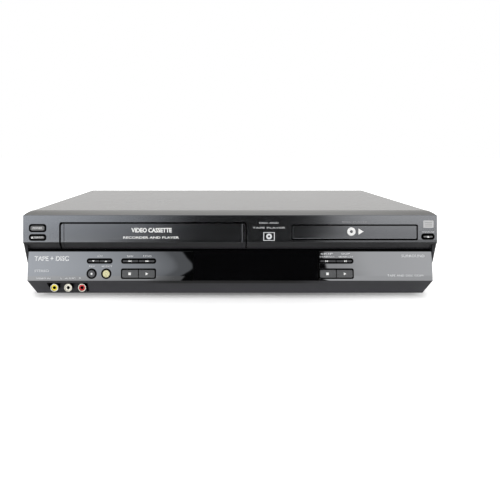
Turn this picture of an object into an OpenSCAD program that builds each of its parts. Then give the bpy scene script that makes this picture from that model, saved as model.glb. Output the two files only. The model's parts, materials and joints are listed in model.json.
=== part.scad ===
// Video cassette and disc combination player: a low, wide case with a curved
// front, a cassette door on the left and a disc tray on the right.
// X runs to the right, Y to the back, Z up. The origin is at the centre of
// the box around the whole player, on the surface that its feet stand on.
// "Depth" always means the distance behind the front face of the fascia.

/* [Case] */
// Width over the fascia's ends
body_w = 430; // [430:1:520]
// Height from the table to the top cover
body_h = 89.5; // [88:0.5:110]
// Depth from the button faces to the tips of the rear jacks
total_d = 270; // [268:1:330]
// Height of the rubber feet
foot_h = 4; // [3:0.5:8]
// Radius of a foot
foot_r = 9; // [6:0.5:12]
// Thickness of the steel sheet
sheet_t = 1; // [0.8:0.1:1.2]
// Wall of the moulded fascia
wall_t = 2.4; // [2:0.1:3]
// How far the fascia stands wider than the cover, each side
cover_step = 2; // [1:0.5:3]
// Depth at which the cover begins
cover_front_d = 20.5; // [18:0.5:25]
// Height of the cover's lower edge above the table
cover_skirt_z = 6; // [5:0.5:10]
// Gap between pieces that seat on each other
fit_gap = 0.2; // [0.1:0.05:0.3]
// Radius of a case screw's thread
screw_r = 1.5; // [1.2:0.1:2]

/* [Front profile] */
// Drop of the fascia's top from the cover to its front edge
brow_drop = 2.8; // [2:0.1:4]
// Height at which the upright face ends and the slanted band begins
band_top_z = 58.6; // [57:0.1:60]
// Height of the band's lower edge
band_bottom_z = 51; // [50:0.1:52]
// How far the band leans back
band_lean = 5; // [3:0.1:7]
// Height of the dark gap between the band and the control panel
recess_h = 1.3; // [1:0.1:2]
// Depth of that gap
recess_d = 12; // [9:0.5:12]
// Height of the control panel's lower edge
panel_bottom_z = 19; // [18:0.1:20]
// How far the control panel leans back at its top
panel_lean = 2.8; // [1:0.1:4]
// Thickness of the control panel
panel_t = 2.4; // [2:0.1:3]
// From the fascia's end to the control panel's end
panel_inset = 4.5; // [3:0.1:8]
// How far the bottom strip leans back at its lower edge
strip_lean = 8; // [5:0.5:10]
// From the fascia's end to the end of its bottom edge
sole_inset = 12; // [8:0.5:16]
// Height at which the fascia reaches the control panel's width
waist_z = 36.7; // [30:0.1:45]

/* [Cassette bay] */
// Width of the cassette that the bay takes
cassette_w = 187; // [170:1:190]
// Depth of that cassette
cassette_d = 102; // [90:1:104]
// Height of that cassette
cassette_h = 25; // [22:0.5:25]
// From the left end of the fascia to the door
door_inset = 38.4; // [38:0.1:45]
// Upper edge of the door
door_top_z = 79; // [77:0.1:79]
// Thickness of the door
door_t = 2.2; // [1.8:0.1:2.4]
// Gap around the door and the tray front
door_gap = 0.8; // [0.6:0.1:1.2]
// Radius of the door's pins
hinge_r = 1.2; // [1:0.1:1.4]
// Depth of the door's hinge
hinge_d = 5.6; // [5.4:0.1:6]
// Height of the door's hinge
hinge_z = 82.6; // [82.4:0.1:82.8]
// How far the cassette holder goes down
holder_drop = 17; // [15:0.5:17]
// Distance between the two reels
reel_pitch = 91.5; // [80:0.5:95]
// Radius of the head drum
drum_r = 31; // [25:0.5:33]

/* [Disc tray] */
// Diameter of the disc
disc_w = 120; // [100:1:122]
// From the right end of the fascia to the tray's middle line
tray_inset = 85.6; // [80:0.1:92]
// Height of the tray front
tray_front_h = 14.2; // [13:0.1:15]
// Lower edge of the tray front
tray_front_z = 62.5; // [62:0.1:63]
// How far the tray comes out
tray_travel = 132; // [110:1:132]
// Module of the small gears
gear_m = 1; // [0.8:0.1:1]
// Teeth of the tray's gear
loading_teeth = 20; // [16:1:22]
// Teeth of the pickup's gear
feed_teeth = 12; // [10:1:14]
// How far the pickup runs
sled_travel = 34; // [28:1:34]
// Radius of the pickup's guide rods
rod_r = 1.5; // [1.2:0.1:2]

/* [Keys] */
// How far a key stands in front of the face around it
key_proud = 0.5; // [0.3:0.1:1]
// How far a key goes in
key_travel = 0.8; // [0.5:0.1:1]
// Gap between a key and its hole
key_gap = 0.2; // [0.15:0.05:0.3]
// Width of the groove around a key
groove_w = 1; // [0.7:0.1:1.2]
// Depth of that groove
groove_t = 1.2; // [0.8:0.1:1.6]
// Width of the groove's outline around a pair of tape or disc keys
pair_w = 36.4; // [30:0.1:38]
// Height of a slim pair of keys
slim_h = 5.3; // [5:0.1:7]
// Height of a tall pair of keys
tall_h = 10.5; // [9:0.1:12]
// Height of the slim pairs' middle line
slim_z = 39; // [38:0.1:41]
// Height of the tall pairs' and the round keys' middle line
tall_z = 26.1; // [25:0.1:27]
// Width of the channel pair
channel_w = 26.7; // [24:0.1:30]
// Radius of the groove's outline around a round key
round_r = 5.1; // [4.5:0.1:5.5]
// Width of the groove's outline around the power and eject keys
power_w = 17.4; // [15:0.1:19]
// Height of the groove's outline around the power key
power_h = 7.8; // [6:0.1:8]
// Height of the groove's outline around the eject key
eject_h = 6.2; // [5:0.1:7]
// Width of the groove's outline around the open and close key
open_close_w = 13.3; // [12:0.1:13.5]

/* [Sockets] */
// Outer radius of a phono jack's sleeve
jack_r = 4.15; // [4.1:0.01:4.2]
// Radius of a phono jack's centre hole
jack_bore_r = 1.6; // [1.55:0.01:1.65]
// Distance between the front jacks
jack_pitch = 14.4; // [13:0.1:16]
// Height of the front jacks
jack_z = 11.1; // [10.8:0.1:11.3]
// How far the rear jacks stand out of the rear panel
jack_proud = 7.5; // [7:0.1:10]
// Radius of the mains inlet's pins
mains_pin_r = 1.18; // [1.15:0.01:1.2]
// Distance between the mains inlet's pins
mains_pitch = 8.6; // [8.5:0.1:8.8]
// Inner radius of the aerial input
aerial_in_r = 4.8; // [4.78:0.01:4.85]
// Outer radius of the aerial output
aerial_out_r = 4.75; // [4.7:0.01:4.76]

/* [Display] */
// Width of the black display window
window_w = 130; // [120:1:134]
// Middle line of the window, from the case's middle
window_x = 26.5; // [20:0.5:28]
// Thickness of the window
window_t = 1.2; // [1:0.1:1.5]

/* [Hidden] */
$fn = 48;

// Where the front face, the rear panel and the tips of the rear jacks are.
front_y = -total_d / 2 + key_proud;
rear_d = total_d - key_proud - jack_proud;
half_w = body_w / 2;
panel_w = body_w - 2 * panel_inset;
sole_w = body_w - 2 * sole_inset;
cover_half = half_w - cover_step;
cover_under_z = body_h - sheet_t;
pan_z = foot_h + sheet_t;
pan_half = cover_half - sheet_t - fit_gap;
running_gap = 0.05;
joint_gap = 0.3;
end_cut = 1;

// The fascia's top is one arc, level where the cover begins.
brow_r = (cover_front_d * cover_front_d + brow_drop * brow_drop) / (2 * brow_drop);
brow_z = body_h - brow_r;
recess_floor_z = band_bottom_z - recess_h;
panel_top_z = recess_floor_z + 0.3;
ledge_z = panel_bottom_z - 0.1;
seat_w = 1.6;
fascia_rear_d = cover_front_d + 5.5;
tuck_d = cover_front_d - joint_gap;

// Cassette door and holder.
door_w = cassette_w + 5.8;
door_x0 = -half_w + door_inset;
door_x1 = door_x0 + door_w;
deck_x = (door_x0 + door_x1) / 2;
door_line_inset = 3.8;
door_line_w = 0.7;
door_line_t = 0.5;
ear_t = 2;
ear_r = hinge_r + 1;
lug_t = 2.5;
lug_gap = 1;
door_reach = hinge_z - band_bottom_z;
holder_d0 = hinge_d + door_reach + 1.3;
holder_d1 = holder_d0 + cassette_d + 1.5;
cassette_z = band_bottom_z + 0.8;
holder_z0 = cassette_z - 0.2 - sheet_t;
holder_z1 = cassette_z + cassette_h + 0.4 + sheet_t;
holder_half = cassette_w / 2 + 0.8 + sheet_t;
track_half = holder_half + 5.7;
deck_half = track_half + sheet_t;
deck_z = 30;
deck_top_z = deck_z + 1.2;
deck_d0 = 22;
deck_d1 = holder_d1 + 86;
guide_pin_r = 2;
guide_pin_z = cassette_z + 8;
guide_pin_ds = [holder_d0 + 22, holder_d0 + 82];
reel_d = holder_d0 + 46;
reel_shaft_r = 1.5;
reel_table_z = cassette_z - holder_drop - 0.4;
drum_d = holder_d1 + 8 + drum_r;
drum_split_z = 56;
capstan_x = deck_x + deck_half - 30;
capstan_d = holder_d1 + 8;
capstan_r = 1.3;
pinch_x = deck_x + deck_half - 14;
pinch_d = capstan_d + 20;
pinch_roller_r = 6;
pinch_reach = 20.2;
// Direction from the arm's pivot to its roller at rest, counted from +X.
pinch_rest_angle = 187.6;
leg_r = 4;
leg_ds = [deck_d0 + 8, deck_d1 - 6];
leg_xs = [deck_x - deck_half + 7, deck_x + deck_half - 7];

// Disc drive.
tray_x = half_w - tray_inset;
tray_half = disc_w / 2 + 2;
tongue_half = tray_half + 2.5;
tray_front_half = tongue_half - 0.1;
tray_z0 = 66;
tray_z1 = 73;
well_z = 69.8;
tray_d0 = 3.2;
spindle_d = disc_w / 2 + 8;
tray_d1 = tray_travel + 36;
slot_half = 20;
frame_half = tray_half + 12;
frame_z0 = 52;
frame_floor_z = frame_z0 + 2;
frame_z1 = 79.7;
frame_d0 = 19.5;
frame_d1 = 205;
loading_r = gear_m * loading_teeth / 2;
feed_r = gear_m * feed_teeth / 2;
rack_x = tray_x - tray_half + 12;
rack_z0 = tray_front_z;
loading_x = rack_x + 4 + loading_r;
loading_d = 31;
lens_d = spindle_d + 24;
sled_d0 = lens_d - 8;
sled_d1 = sled_d0 + 26;
sled_half = 24;
rod_x = 20;
rod_z = 58.5;
rod_d0 = sled_d0 - 6;
rod_d1 = sled_d1 + sled_travel + 5;
feed_x = tray_x + sled_half + 2 + feed_r;
feed_d = sled_d1 + 2;
shaft_r = 1;
clamp_neck_r = 9;

// Keys and the board behind them.
board_t = 1.6;
board_d = 16.5;
switch_h = 3.5;
plunger_h = 1;
plunger_d = board_d - switch_h - plunger_h;
stem_end_d = plunger_d - key_travel - joint_gap;
flange_t = 1;
flange_w = 0.8;
tape_keys_x = -half_w + 119.8;
disc_keys_x = half_w - 104.6;
channel_x = -half_w + 79.2;
record_x = -half_w + 71.1;
select_x = -half_w + 86.3;
power_x = -half_w + 15.2;
open_close_x = half_w - 9.55;
power_z = 73.6;
eject_z = 63.9;
open_close_z = 64.8;
open_close_h = 5.8;

// Boards on the base pan.
post_h = 5;
main_board_z = pan_z + post_h;
board_top_z = main_board_z + board_t;
main_board_x0 = -half_w + 15;
main_board_x1 = deck_x + deck_half + 30;
board_d0 = deck_d0 + 3;
board_d1 = rear_d - 3;
power_board_x0 = tray_x - frame_half + 6;
power_board_x1 = half_w - 9;
power_board_d0 = 60;

// Front jacks.
jack_x = -half_w + 31.9;
jack_recess_d = 7.5;
jack_recess_z0 = 6.1;
jack_recess_z1 = 16.3;
jack_tip_d = 1.8;
jack_wall = 0.8;
jack_step = 0.35;
cell_gap = 0.2;
insert_r = jack_r - jack_wall - running_gap;

// Rear sockets.
tuner_x = deck_x - 45;
scart_x = deck_x + 12;
rear_jacks_x = deck_x + 78;
mains_x = half_w - 30;
mains_z = 22;

// ---------- drawing helpers ----------

// A plain box between two corners; its Y limits are depths.
module box(x0, x1, d0, d1, z0, z1) {
  translate([x0, front_y + d0, z0])
    cube([x1 - x0, d1 - d0, z1 - z0]);
}

// Extrudes a (depth, height) outline along X.
module along_x(x0, x1) {
  translate([x0, front_y, 0])
    rotate([90, 0, 90])
      linear_extrude(x1 - x0)
        children();
}

// Extrudes an (x, height) outline along Y.
module along_y(d0, d1) {
  translate([0, front_y + d1, 0])
    rotate([90, 0, 0])
      linear_extrude(d1 - d0)
        children();
}

// Extrudes an (x, depth) outline along Z.
module along_z(z0, z1) {
  translate([0, front_y, z0])
    linear_extrude(z1 - z0)
      children();
}

module rod_along_x(x0, x1, d, z, r) {
  translate([x0, front_y + d, z])
    rotate([0, 90, 0])
      cylinder(h = x1 - x0, r = r);
}

module rod_along_y(x, z, d0, d1, r) {
  translate([x, front_y + d1, z])
    rotate([90, 0, 0])
      cylinder(h = d1 - d0, r = r);
}

module rod_along_z(x, d, z0, z1, r) {
  translate([x, front_y + d, z0])
    cylinder(h = z1 - z0, r = r);
}

// Quarter of a circle as points, or its centre when the radius is nothing.
function corner(cx, cz, r, start) =
  r == 0 ? [[cx, cz]] : [for (i = [0:6]) [cx + r * cos(start + 15 * i), cz + r * sin(start + 15 * i)]];

// Rectangle with its own radius at each corner: lower left, lower right, upper right, upper left.
function rounded(x0, x1, z0, z1, r) = concat(
  corner(x0 + r[0], z0 + r[0], r[0], 180),
  corner(x1 - r[1], z0 + r[1], r[1], 270),
  corner(x1 - r[2], z1 - r[2], r[2], 0),
  corner(x0 + r[3], z1 - r[3], r[3], 90)
);

function same(r) = [r, r, r, r];
function unit(v) = v / norm(v);
function side_normal(a, b) = [-unit(b - a)[1], unit(b - a)[0]];

// Moves every side of an anticlockwise outline inwards by t.
function inset(points, t) = [
  for (i = [0:len(points) - 1])
    let (
      here = points[i],
      n0 = side_normal(points[(i + len(points) - 1) % len(points)], here),
      n1 = side_normal(here, points[(i + 1) % len(points)])
    )
    here + t * (n0 + n1) / (1 + n0 * n1)
];

// Depth of the control panel's face at a height.
function panel_face_d(z) = panel_lean * (z - panel_bottom_z) / (panel_top_z - panel_bottom_z);

// A layer of the control panel: what lies between two depths behind its face.
module panel_layer(from, to, z0 = panel_bottom_z, z1 = panel_top_z, half = half_w) {
  along_x(-half, half)
    polygon([
      [panel_face_d(z0) + from, z0],
      [panel_face_d(z0) + to, z0],
      [panel_face_d(z1) + to, z1],
      [panel_face_d(z1) + from, z1]
    ]);
}

// ---------- front fascia ----------

// Outline from the side, open upwards, where the brow's arc closes it.
function fascia_side(rear) = [
  [strip_lean, foot_h],
  [rear, foot_h],
  [rear, body_h + 10],
  [0, body_h + 10],
  [0, band_top_z],
  [band_lean, band_bottom_z],
  [recess_d, band_bottom_z],
  [recess_d, recess_floor_z],
  [panel_face_d(recess_floor_z) + panel_t, recess_floor_z],
  [panel_face_d(ledge_z) + panel_t, ledge_z],
  [0, ledge_z]
];

fascia_front = [
  [-sole_w / 2, foot_h],
  [sole_w / 2, foot_h],
  [panel_w / 2, panel_bottom_z],
  [panel_w / 2, waist_z],
  [half_w, band_top_z],
  [half_w, body_h + 10],
  [-half_w, body_h + 10],
  [-half_w, band_top_z],
  [-panel_w / 2, waist_z],
  [-panel_w / 2, panel_bottom_z]
];

function fascia_plan(front, rear) = [
  [-half_w, front],
  [half_w, front],
  [half_w, 0],
  [cover_half - 0.1, tuck_d],
  [pan_half, tuck_d + 0.01],
  [pan_half, rear],
  [-pan_half, rear],
  [-pan_half, tuck_d + 0.01],
  [-cover_half + 0.1, tuck_d],
  [-half_w, 0]
];

module fascia_body(t, rear) {
  intersection() {
    along_x(-half_w, half_w)
      polygon(inset(fascia_side(rear), t));
    along_y(-1, rear)
      polygon(inset(fascia_front, t));
    along_z(0, body_h)
      polygon(inset(fascia_plan(-20, rear), t));
    rod_along_x(-half_w, half_w, cover_front_d, brow_z, brow_r - t);
  }
}

module bay_opening() {
  along_y(-end_cut, recess_d + wall_t + end_cut)
    polygon(rounded(door_x0 - door_gap, door_x1 + door_gap, band_bottom_z - 0.01, door_top_z + door_gap,
                    [0, 0, 2.4, 2.4]));
}

module tray_opening(grow = door_gap) {
  along_y(-end_cut, wall_t + end_cut)
    polygon(rounded(tray_x - tray_front_half - grow, tray_x + tray_front_half + grow, tray_front_z - grow,
                    tray_front_z + tray_front_h + grow, same(1 + grow)));
}

// Key outlines: each is given by its groove's middle, width and height, shrunk by "less".
// side is -1 or +1 for the left or right key of a pair, 0 for a single key or the groove.
module key_outline(x, z, w, h, r, less = 0, side = 0, split = 0) {
  x0 = side > 0 ? x + split : x - w / 2 + less;
  x1 = side < 0 ? x - split : x + w / 2 - less;
  left_r = side > 0 ? 0 : max(r - less, 0.2);
  right_r = side < 0 ? 0 : max(r - less, 0.2);
  polygon(rounded(x0, x1, z - h / 2 + less, z + h / 2 - less, [left_r, right_r, right_r, left_r]));
}

slim_r = slim_h / 2 - 0.05;
tall_r = 2.8;
power_r = 2.6;

module power_outline(less = 0) {
  key_outline(power_x, power_z, power_w, power_h, power_r, less);
}

module eject_outline(less = 0) {
  key_outline(power_x, eject_z, power_w, eject_h, power_r, less);
}

module open_close_outline(less = 0) {
  key_outline(open_close_x, open_close_z, open_close_w, open_close_h, power_r, less);
}

module upper_key_outlines(less = 0) {
  power_outline(less);
  eject_outline(less);
  open_close_outline(less);
}

// Lugs that carry the cassette door's pins.
module door_lugs() {
  for (x = [door_x0 - lug_gap - lug_t, door_x1 + lug_gap])
    box(x, x + lug_t, wall_t - 0.2, hinge_d + 4, hinge_z - 4.5, hinge_z + 3.2);
}

module jack_recess() {
  x0 = jack_x - 7.7;
  x1 = jack_x + 2 * jack_pitch + 6;
  along_y(-end_cut, jack_recess_d)
    polygon([[x0 + 3, jack_recess_z0], [x1, jack_recess_z0], [x1, jack_recess_z1], [x0, jack_recess_z1]]);
}

// Hole around a sleeve, with 24 flat sides.
module jack_hole(x) {
  hole_r = jack_r + fit_gap;
  along_y(0, jack_recess_d + 3)
    polygon([for (a = [0:15:345]) [x + hole_r * cos(a), jack_z + hole_r * sin(a)]]);
}

module front_fascia() {
  color([0.34, 0.36, 0.38])
    difference() {
      union() {
        difference() {
          fascia_body(0, fascia_rear_d);
          fascia_body(wall_t, fascia_rear_d + 30);
        }
        door_lugs();
        // rib that backs the jacks' board
        box(jack_x - 9.7, jack_x + 2 * jack_pitch + 8, board_d + board_t + 0.4, board_d + board_t + 2.4, foot_h + 1,
            jack_z + 3);
        // wall behind the front jacks
        box(jack_x - 9.7, jack_x + 2 * jack_pitch + 8, 6.5, jack_recess_d + 2, foot_h + 1, panel_bottom_z - 1);
        // bosses that carry the front board
        for (x = [-half_w + 95, window_x - 80, window_x + 80, half_w - 60])
          rod_along_y(x, panel_bottom_z - 6, 5.5, board_d, 3);
      }
      // the cover's edge lies on the step behind the brow
      box(-half_w, half_w, tuck_d, fascia_rear_d + end_cut, cover_under_z - fit_gap, body_h + end_cut);
      bay_opening();
      tray_opening();
      // window behind the control panel
      box(-panel_w / 2 + 6.5, panel_w / 2 - 6.5, -end_cut, 9, panel_bottom_z + seat_w, panel_top_z - 2 * seat_w);
      along_y(-end_cut, groove_t)
        upper_key_outlines();
      along_y(-end_cut, wall_t + end_cut)
        upper_key_outlines(groove_w);
      for (x = [door_x0 - lug_gap - lug_t, door_x1 + lug_gap])
        rod_along_x(x - end_cut, x + lug_t + end_cut, hinge_d, hinge_z, hinge_r + running_gap);
      jack_recess();
      for (i = [0:2])
        jack_hole(jack_x + i * jack_pitch);
    }
}

// ---------- control panel and window ----------

module lower_key_outlines(less = 0) {
  key_outline(channel_x, slim_z, channel_w, slim_h, slim_r, less);
  for (x = [tape_keys_x, disc_keys_x]) {
    key_outline(x, slim_z, pair_w, slim_h, slim_r, less);
    key_outline(x, tall_z, pair_w, tall_h, tall_r, less);
  }
}

module round_keys(from, to, less = 0) {
  for (x = [record_x, select_x])
    rod_along_y(x, tall_z, from, to, round_r - less);
}

window_x0 = window_x - window_w / 2;
window_x1 = window_x + window_w / 2;

module control_panel() {
  color([0.68, 0.69, 0.71])
    difference() {
      panel_layer(0, panel_t, half = panel_w / 2);
      intersection() {
        union() {
          along_y(-2, 9)
            lower_key_outlines();
          round_keys(-2, 9);
        }
        panel_layer(-end_cut, groove_t);
      }
      along_y(-2, 9)
        lower_key_outlines(groove_w);
      round_keys(-2, 9, groove_w);
      // seat of the window
      intersection() {
        box(window_x0, window_x1, -5, 20, 0, body_h);
        panel_layer(-end_cut, window_t, panel_bottom_z - 1, panel_top_z + 1);
      }
      // opening in front of the display tube
      box(window_x - 52, window_x + 52, -2, 9, 26, 45);
    }
}

module display_window() {
  color([0.03, 0.03, 0.04])
    intersection() {
      box(window_x0 + 0.1, window_x1 - 0.1, -5, 20, 0, body_h);
      panel_layer(0, window_t, panel_bottom_z + 0.05, panel_top_z - 0.05);
    }
}

// ---------- keys ----------

// A key on the control panel: cap, flange behind the panel and a stem towards its switch.
module panel_key(x, z, w, h, r, side = 0) {
  split = 0.25;
  middle = x + side * w / 4;
  color([0.62, 0.64, 0.65]) {
    union() {
      intersection() {
        along_y(-3, 12)
          key_outline(x, z, w, h, r, groove_w + key_gap, side, split);
        panel_layer(-key_proud, panel_t + joint_gap + flange_t);
      }
      intersection() {
        along_y(-3, 12)
          key_outline(x, z, w, h, r, groove_w - flange_w, side, split);
        panel_layer(panel_t + joint_gap, panel_t + joint_gap + flange_t);
      }
      rod_along_y(middle, z, panel_face_d(z) + panel_t, stem_end_d, 1.2);
    }
  }
}

module round_key(x, shade) {
  color(shade)
    union() {
      intersection() {
        rod_along_y(x, tall_z, -3, 12, round_r - groove_w - key_gap);
        panel_layer(-key_proud, panel_t + joint_gap + flange_t);
      }
      intersection() {
        rod_along_y(x, tall_z, -3, 12, round_r - groove_w + flange_w);
        panel_layer(panel_t + joint_gap, panel_t + joint_gap + flange_t);
      }
      rod_along_y(x, tall_z, panel_face_d(tall_z) + panel_t, stem_end_d, 1.2);
    }
}

// A key on the upright face; its outline comes as a child for each "less".
module face_key(x, z, w, h) {
  color([0.62, 0.64, 0.65])
    union() {
      along_y(-key_proud, wall_t + joint_gap + flange_t)
        key_outline(x, z, w, h, power_r, groove_w + key_gap);
      along_y(wall_t + joint_gap, wall_t + joint_gap + flange_t)
        key_outline(x, z, w, h, power_r, groove_w - flange_w);
      rod_along_y(x, z, wall_t, stem_end_d, 1.2);
    }
}

module power_button() {
  face_key(power_x, power_z, power_w, power_h);
}

module eject_button() {
  face_key(power_x, eject_z, power_w, eject_h);
}

module open_close_button() {
  face_key(open_close_x, open_close_z, open_close_w, open_close_h);
}

module channel_down_button() {
  panel_key(channel_x, slim_z, channel_w, slim_h, slim_r, -1);
}

module channel_up_button() {
  panel_key(channel_x, slim_z, channel_w, slim_h, slim_r, 1);
}

module record_button() {
  round_key(record_x, [0.6, 0.62, 0.63]);
}

module select_button() {
  round_key(select_x, [0.72, 0.71, 0.58]);
}

module rewind_button() {
  panel_key(tape_keys_x, slim_z, pair_w, slim_h, slim_r, -1);
}

module fast_forward_button() {
  panel_key(tape_keys_x, slim_z, pair_w, slim_h, slim_r, 1);
}

module tape_stop_button() {
  panel_key(tape_keys_x, tall_z, pair_w, tall_h, tall_r, -1);
}

module tape_play_button() {
  panel_key(tape_keys_x, tall_z, pair_w, tall_h, tall_r, 1);
}

module skip_back_button() {
  panel_key(disc_keys_x, slim_z, pair_w, slim_h, slim_r, -1);
}

module skip_forward_button() {
  panel_key(disc_keys_x, slim_z, pair_w, slim_h, slim_r, 1);
}

module disc_stop_button() {
  panel_key(disc_keys_x, tall_z, pair_w, tall_h, tall_r, -1);
}

module disc_play_button() {
  panel_key(disc_keys_x, tall_z, pair_w, tall_h, tall_r, 1);
}

// ---------- cassette door ----------

module door_section() {
  polygon([
    [0, door_top_z],
    [0, band_top_z],
    [band_lean, band_bottom_z],
    [band_lean + door_t, band_bottom_z],
    [door_t, band_top_z + 1],
    [door_t, door_top_z]
  ]);
}

module cassette_door() {
  color([0.38, 0.40, 0.42])
    union() {
      difference() {
        intersection() {
          along_x(door_x0, door_x1)
            door_section();
          along_y(-end_cut, 20)
            polygon(rounded(door_x0, door_x1, band_bottom_z, door_top_z, [0.01, 0.01, 1.8, 1.8]));
        }
        // shallow line near each end of the upright face
        for (x = [door_x0 + door_line_inset, door_x1 - door_line_inset - door_line_w])
          box(x, x + door_line_w, -end_cut, door_line_t, band_top_z + 1.2, door_top_z - 1.2);
      }
      for (x = [door_x0, door_x1 - ear_t]) {
        rod_along_x(x, x + ear_t, hinge_d, hinge_z, ear_r);
        along_x(x, x + ear_t)
          polygon([
            [door_t - 0.2, door_top_z - 8],
            [hinge_d + ear_r - 0.4, hinge_z - 1],
            [hinge_d - ear_r + 0.05, hinge_z],
            [hinge_d - ear_r + 0.05, door_top_z - 0.2],
            [door_t - 0.2, door_top_z - 0.6]
          ]);
      }
      rod_along_x(door_x0 - lug_gap - lug_t + 0.4, door_x0 + 0.5, hinge_d, hinge_z, hinge_r);
      rod_along_x(door_x1 - 0.5, door_x1 + lug_gap + lug_t - 0.4, hinge_d, hinge_z, hinge_r);
    }
}

// ---------- case ----------

side_screw_ds = [cover_front_d + 34, rear_d - 45];
side_screw_z = pan_z + 9;
rear_screw_xs = [-half_w + 25, 0, half_w - 25];
rear_screw_z = cover_under_z - 4;
lip_d = rear_d + fit_gap;
screw_head_r = 2 * screw_r;
screw_head_h = 1.7;

module top_cover() {
  color([0.42, 0.42, 0.42])
    difference() {
      box(-cover_half, cover_half, cover_front_d, lip_d + sheet_t, cover_skirt_z, body_h);
      box(-cover_half + sheet_t, cover_half - sheet_t, 0, lip_d, 0, cover_under_z);
      box(-half_w, half_w, lip_d, rear_d + 20, 0, rear_screw_z - 4.5);
      for (d = side_screw_ds)
        rod_along_x(-half_w, half_w, d, side_screw_z, screw_r + fit_gap);
      for (x = rear_screw_xs)
        rod_along_y(x, rear_screw_z, rear_d - 5, rear_d + 20, screw_r + fit_gap);
    }
}

module cover_screw() {
  // one screw, its head's seat at the origin and its thread along -Z
  cylinder(h = screw_head_h, r = screw_head_r);
  translate([0, 0, -5])
    cylinder(h = 5.5, r = screw_r);
}

module cover_screws() {
  color([0.12, 0.12, 0.12]) {
    for (d = side_screw_ds) {
      for (side = [-1, 1])
        translate([side * cover_half, front_y + d, side_screw_z])
          rotate([0, side * 90, 0])
            cover_screw();
    }
    for (x = rear_screw_xs)
      translate([x, front_y + lip_d + sheet_t, rear_screw_z])
        rotate([-90, 0, 0])
          cover_screw();
  }
}

pan_d0 = fascia_rear_d + joint_gap;
foot_x = half_w - 40;
foot_ds = [pan_d0 + 20, rear_d - 28];

module board_posts(xs, ds) {
  for (x = xs)
    for (d = ds)
      rod_along_z(x, d, pan_z - 0.5, main_board_z, 3);
}

module base_pan() {
  color([0.55, 0.55, 0.54])
    difference() {
      union() {
        box(-pan_half, pan_half, pan_d0, rear_d, foot_h, pan_z);
        for (x = [-pan_half, pan_half - sheet_t])
          box(x, x + sheet_t, pan_d0, rear_d, foot_h, pan_z + 18);
        board_posts([main_board_x0 + 6, main_board_x1 - 6], [board_d0 + 8, board_d1 - 8]);
        board_posts([power_board_x0 + 6, power_board_x1 - 6], [power_board_d0 + 6, board_d1 - 8]);
      }
      // air slots
      for (i = [0:7])
        for (j = [0:1])
          box(tray_x - 50 + 12 * i, tray_x - 46 + 12 * i, 90 + 70 * j, 130 + 70 * j, 0, pan_z + 1);
      for (d = side_screw_ds)
        rod_along_x(-half_w, half_w, d, side_screw_z, screw_r + running_gap);
    }
}

module feet() {
  color([0.1, 0.1, 0.1])
    for (x = [-foot_x, foot_x])
      for (d = foot_ds)
        rod_along_z(x, d, 0, foot_h, foot_r);
}

rear_jack_zs = [28, 46];
rear_jack_xs = [-21.6, -7.2, 7.2, 21.6];
aerial_zs = [30, 55];
scart_zs = [26, 52];
scart_half = 24;

module rear_panel() {
  color([0.5, 0.5, 0.5])
    difference() {
      box(-pan_half + sheet_t + fit_gap, pan_half - sheet_t - fit_gap, rear_d - sheet_t, rear_d, pan_z,
          cover_under_z - fit_gap);
      for (z = aerial_zs)
        rod_along_y(tuner_x, z, rear_d - 5, rear_d + 5, 6.5);
      for (z = scart_zs)
        box(scart_x - scart_half - 0.3, scart_x + scart_half + 0.3, rear_d - 5, rear_d + 5, z - 8.3, z + 8.3);
      box(rear_jacks_x - 29, rear_jacks_x + 29, rear_d - 5, rear_d + 5, rear_jack_zs[0] - 9.2,
          rear_jack_zs[1] + 9.2);
      box(mains_x - 13.3, mains_x + 13.3, rear_d - 5, rear_d + 5, mains_z - 8.3, mains_z + 8.3);
      // air slots
      for (i = [0:9])
        box(tray_x - 48 + 8 * i, tray_x - 45 + 8 * i, rear_d - 5, rear_d + 5, 44, 72);
      for (x = rear_screw_xs)
        rod_along_y(x, rear_screw_z, rear_d - 5, rear_d + 5, screw_r + running_gap);
    }
}

// ---------- front jacks and front board ----------

module tube_along_y(x, z, d0, d1, r, bore) {
  difference() {
    rod_along_y(x, z, d0, d1, r);
    rod_along_y(x, z, d0 - end_cut, d1 + end_cut, bore);
  }
}

sleeve_end_d = board_d - 3;

// A carrier on the board with one cell for each jack.
module front_jack_block() {
  z0 = foot_h + wall_t + 0.4;
  z1 = jack_z + 5.2;
  half = jack_pitch / 2 - cell_gap / 2;
  color([0.08, 0.08, 0.09]) {
    box(jack_x - half, jack_x + 2 * jack_pitch + half, sleeve_end_d + 0.1, board_d - fit_gap, z0, z1);
    for (i = [0:2])
      difference() {
        box(jack_x + i * jack_pitch - half, jack_x + i * jack_pitch + half, jack_recess_d + 2.2, sleeve_end_d,
            z0, z1);
        rod_along_y(jack_x + i * jack_pitch, jack_z, 5, board_d, jack_r - jack_step + running_gap);
      }
  }
}

// The sleeve is a little thinner inside its cell, where no plug reaches.
module front_jack_sleeves() {
  color([0.75, 0.75, 0.76])
    for (i = [0:2])
      difference() {
        union() {
          rod_along_y(jack_x + i * jack_pitch, jack_z, jack_tip_d, jack_recess_d - fit_gap, jack_r);
          rod_along_y(jack_x + i * jack_pitch, jack_z, jack_recess_d - 1, sleeve_end_d, jack_r - jack_step);
        }
        rod_along_y(jack_x + i * jack_pitch, jack_z, 0, board_d, jack_r - jack_wall);
      }
}

module front_jack_inserts() {
  shades = [[0.9, 0.75, 0.1], [0.92, 0.92, 0.9], [0.8, 0.1, 0.1]];
  for (i = [0:2])
    color(shades[i])
      tube_along_y(jack_x + i * jack_pitch, jack_z, jack_tip_d + 0.4, sleeve_end_d - 0.5, insert_r, jack_bore_r);
}

tower_x0 = -half_w + 7;
tower_x1 = -half_w + 30;
tower_z = 80;
right_tower_x0 = half_w - 16;
right_tower_x1 = half_w - 6.5;

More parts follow.
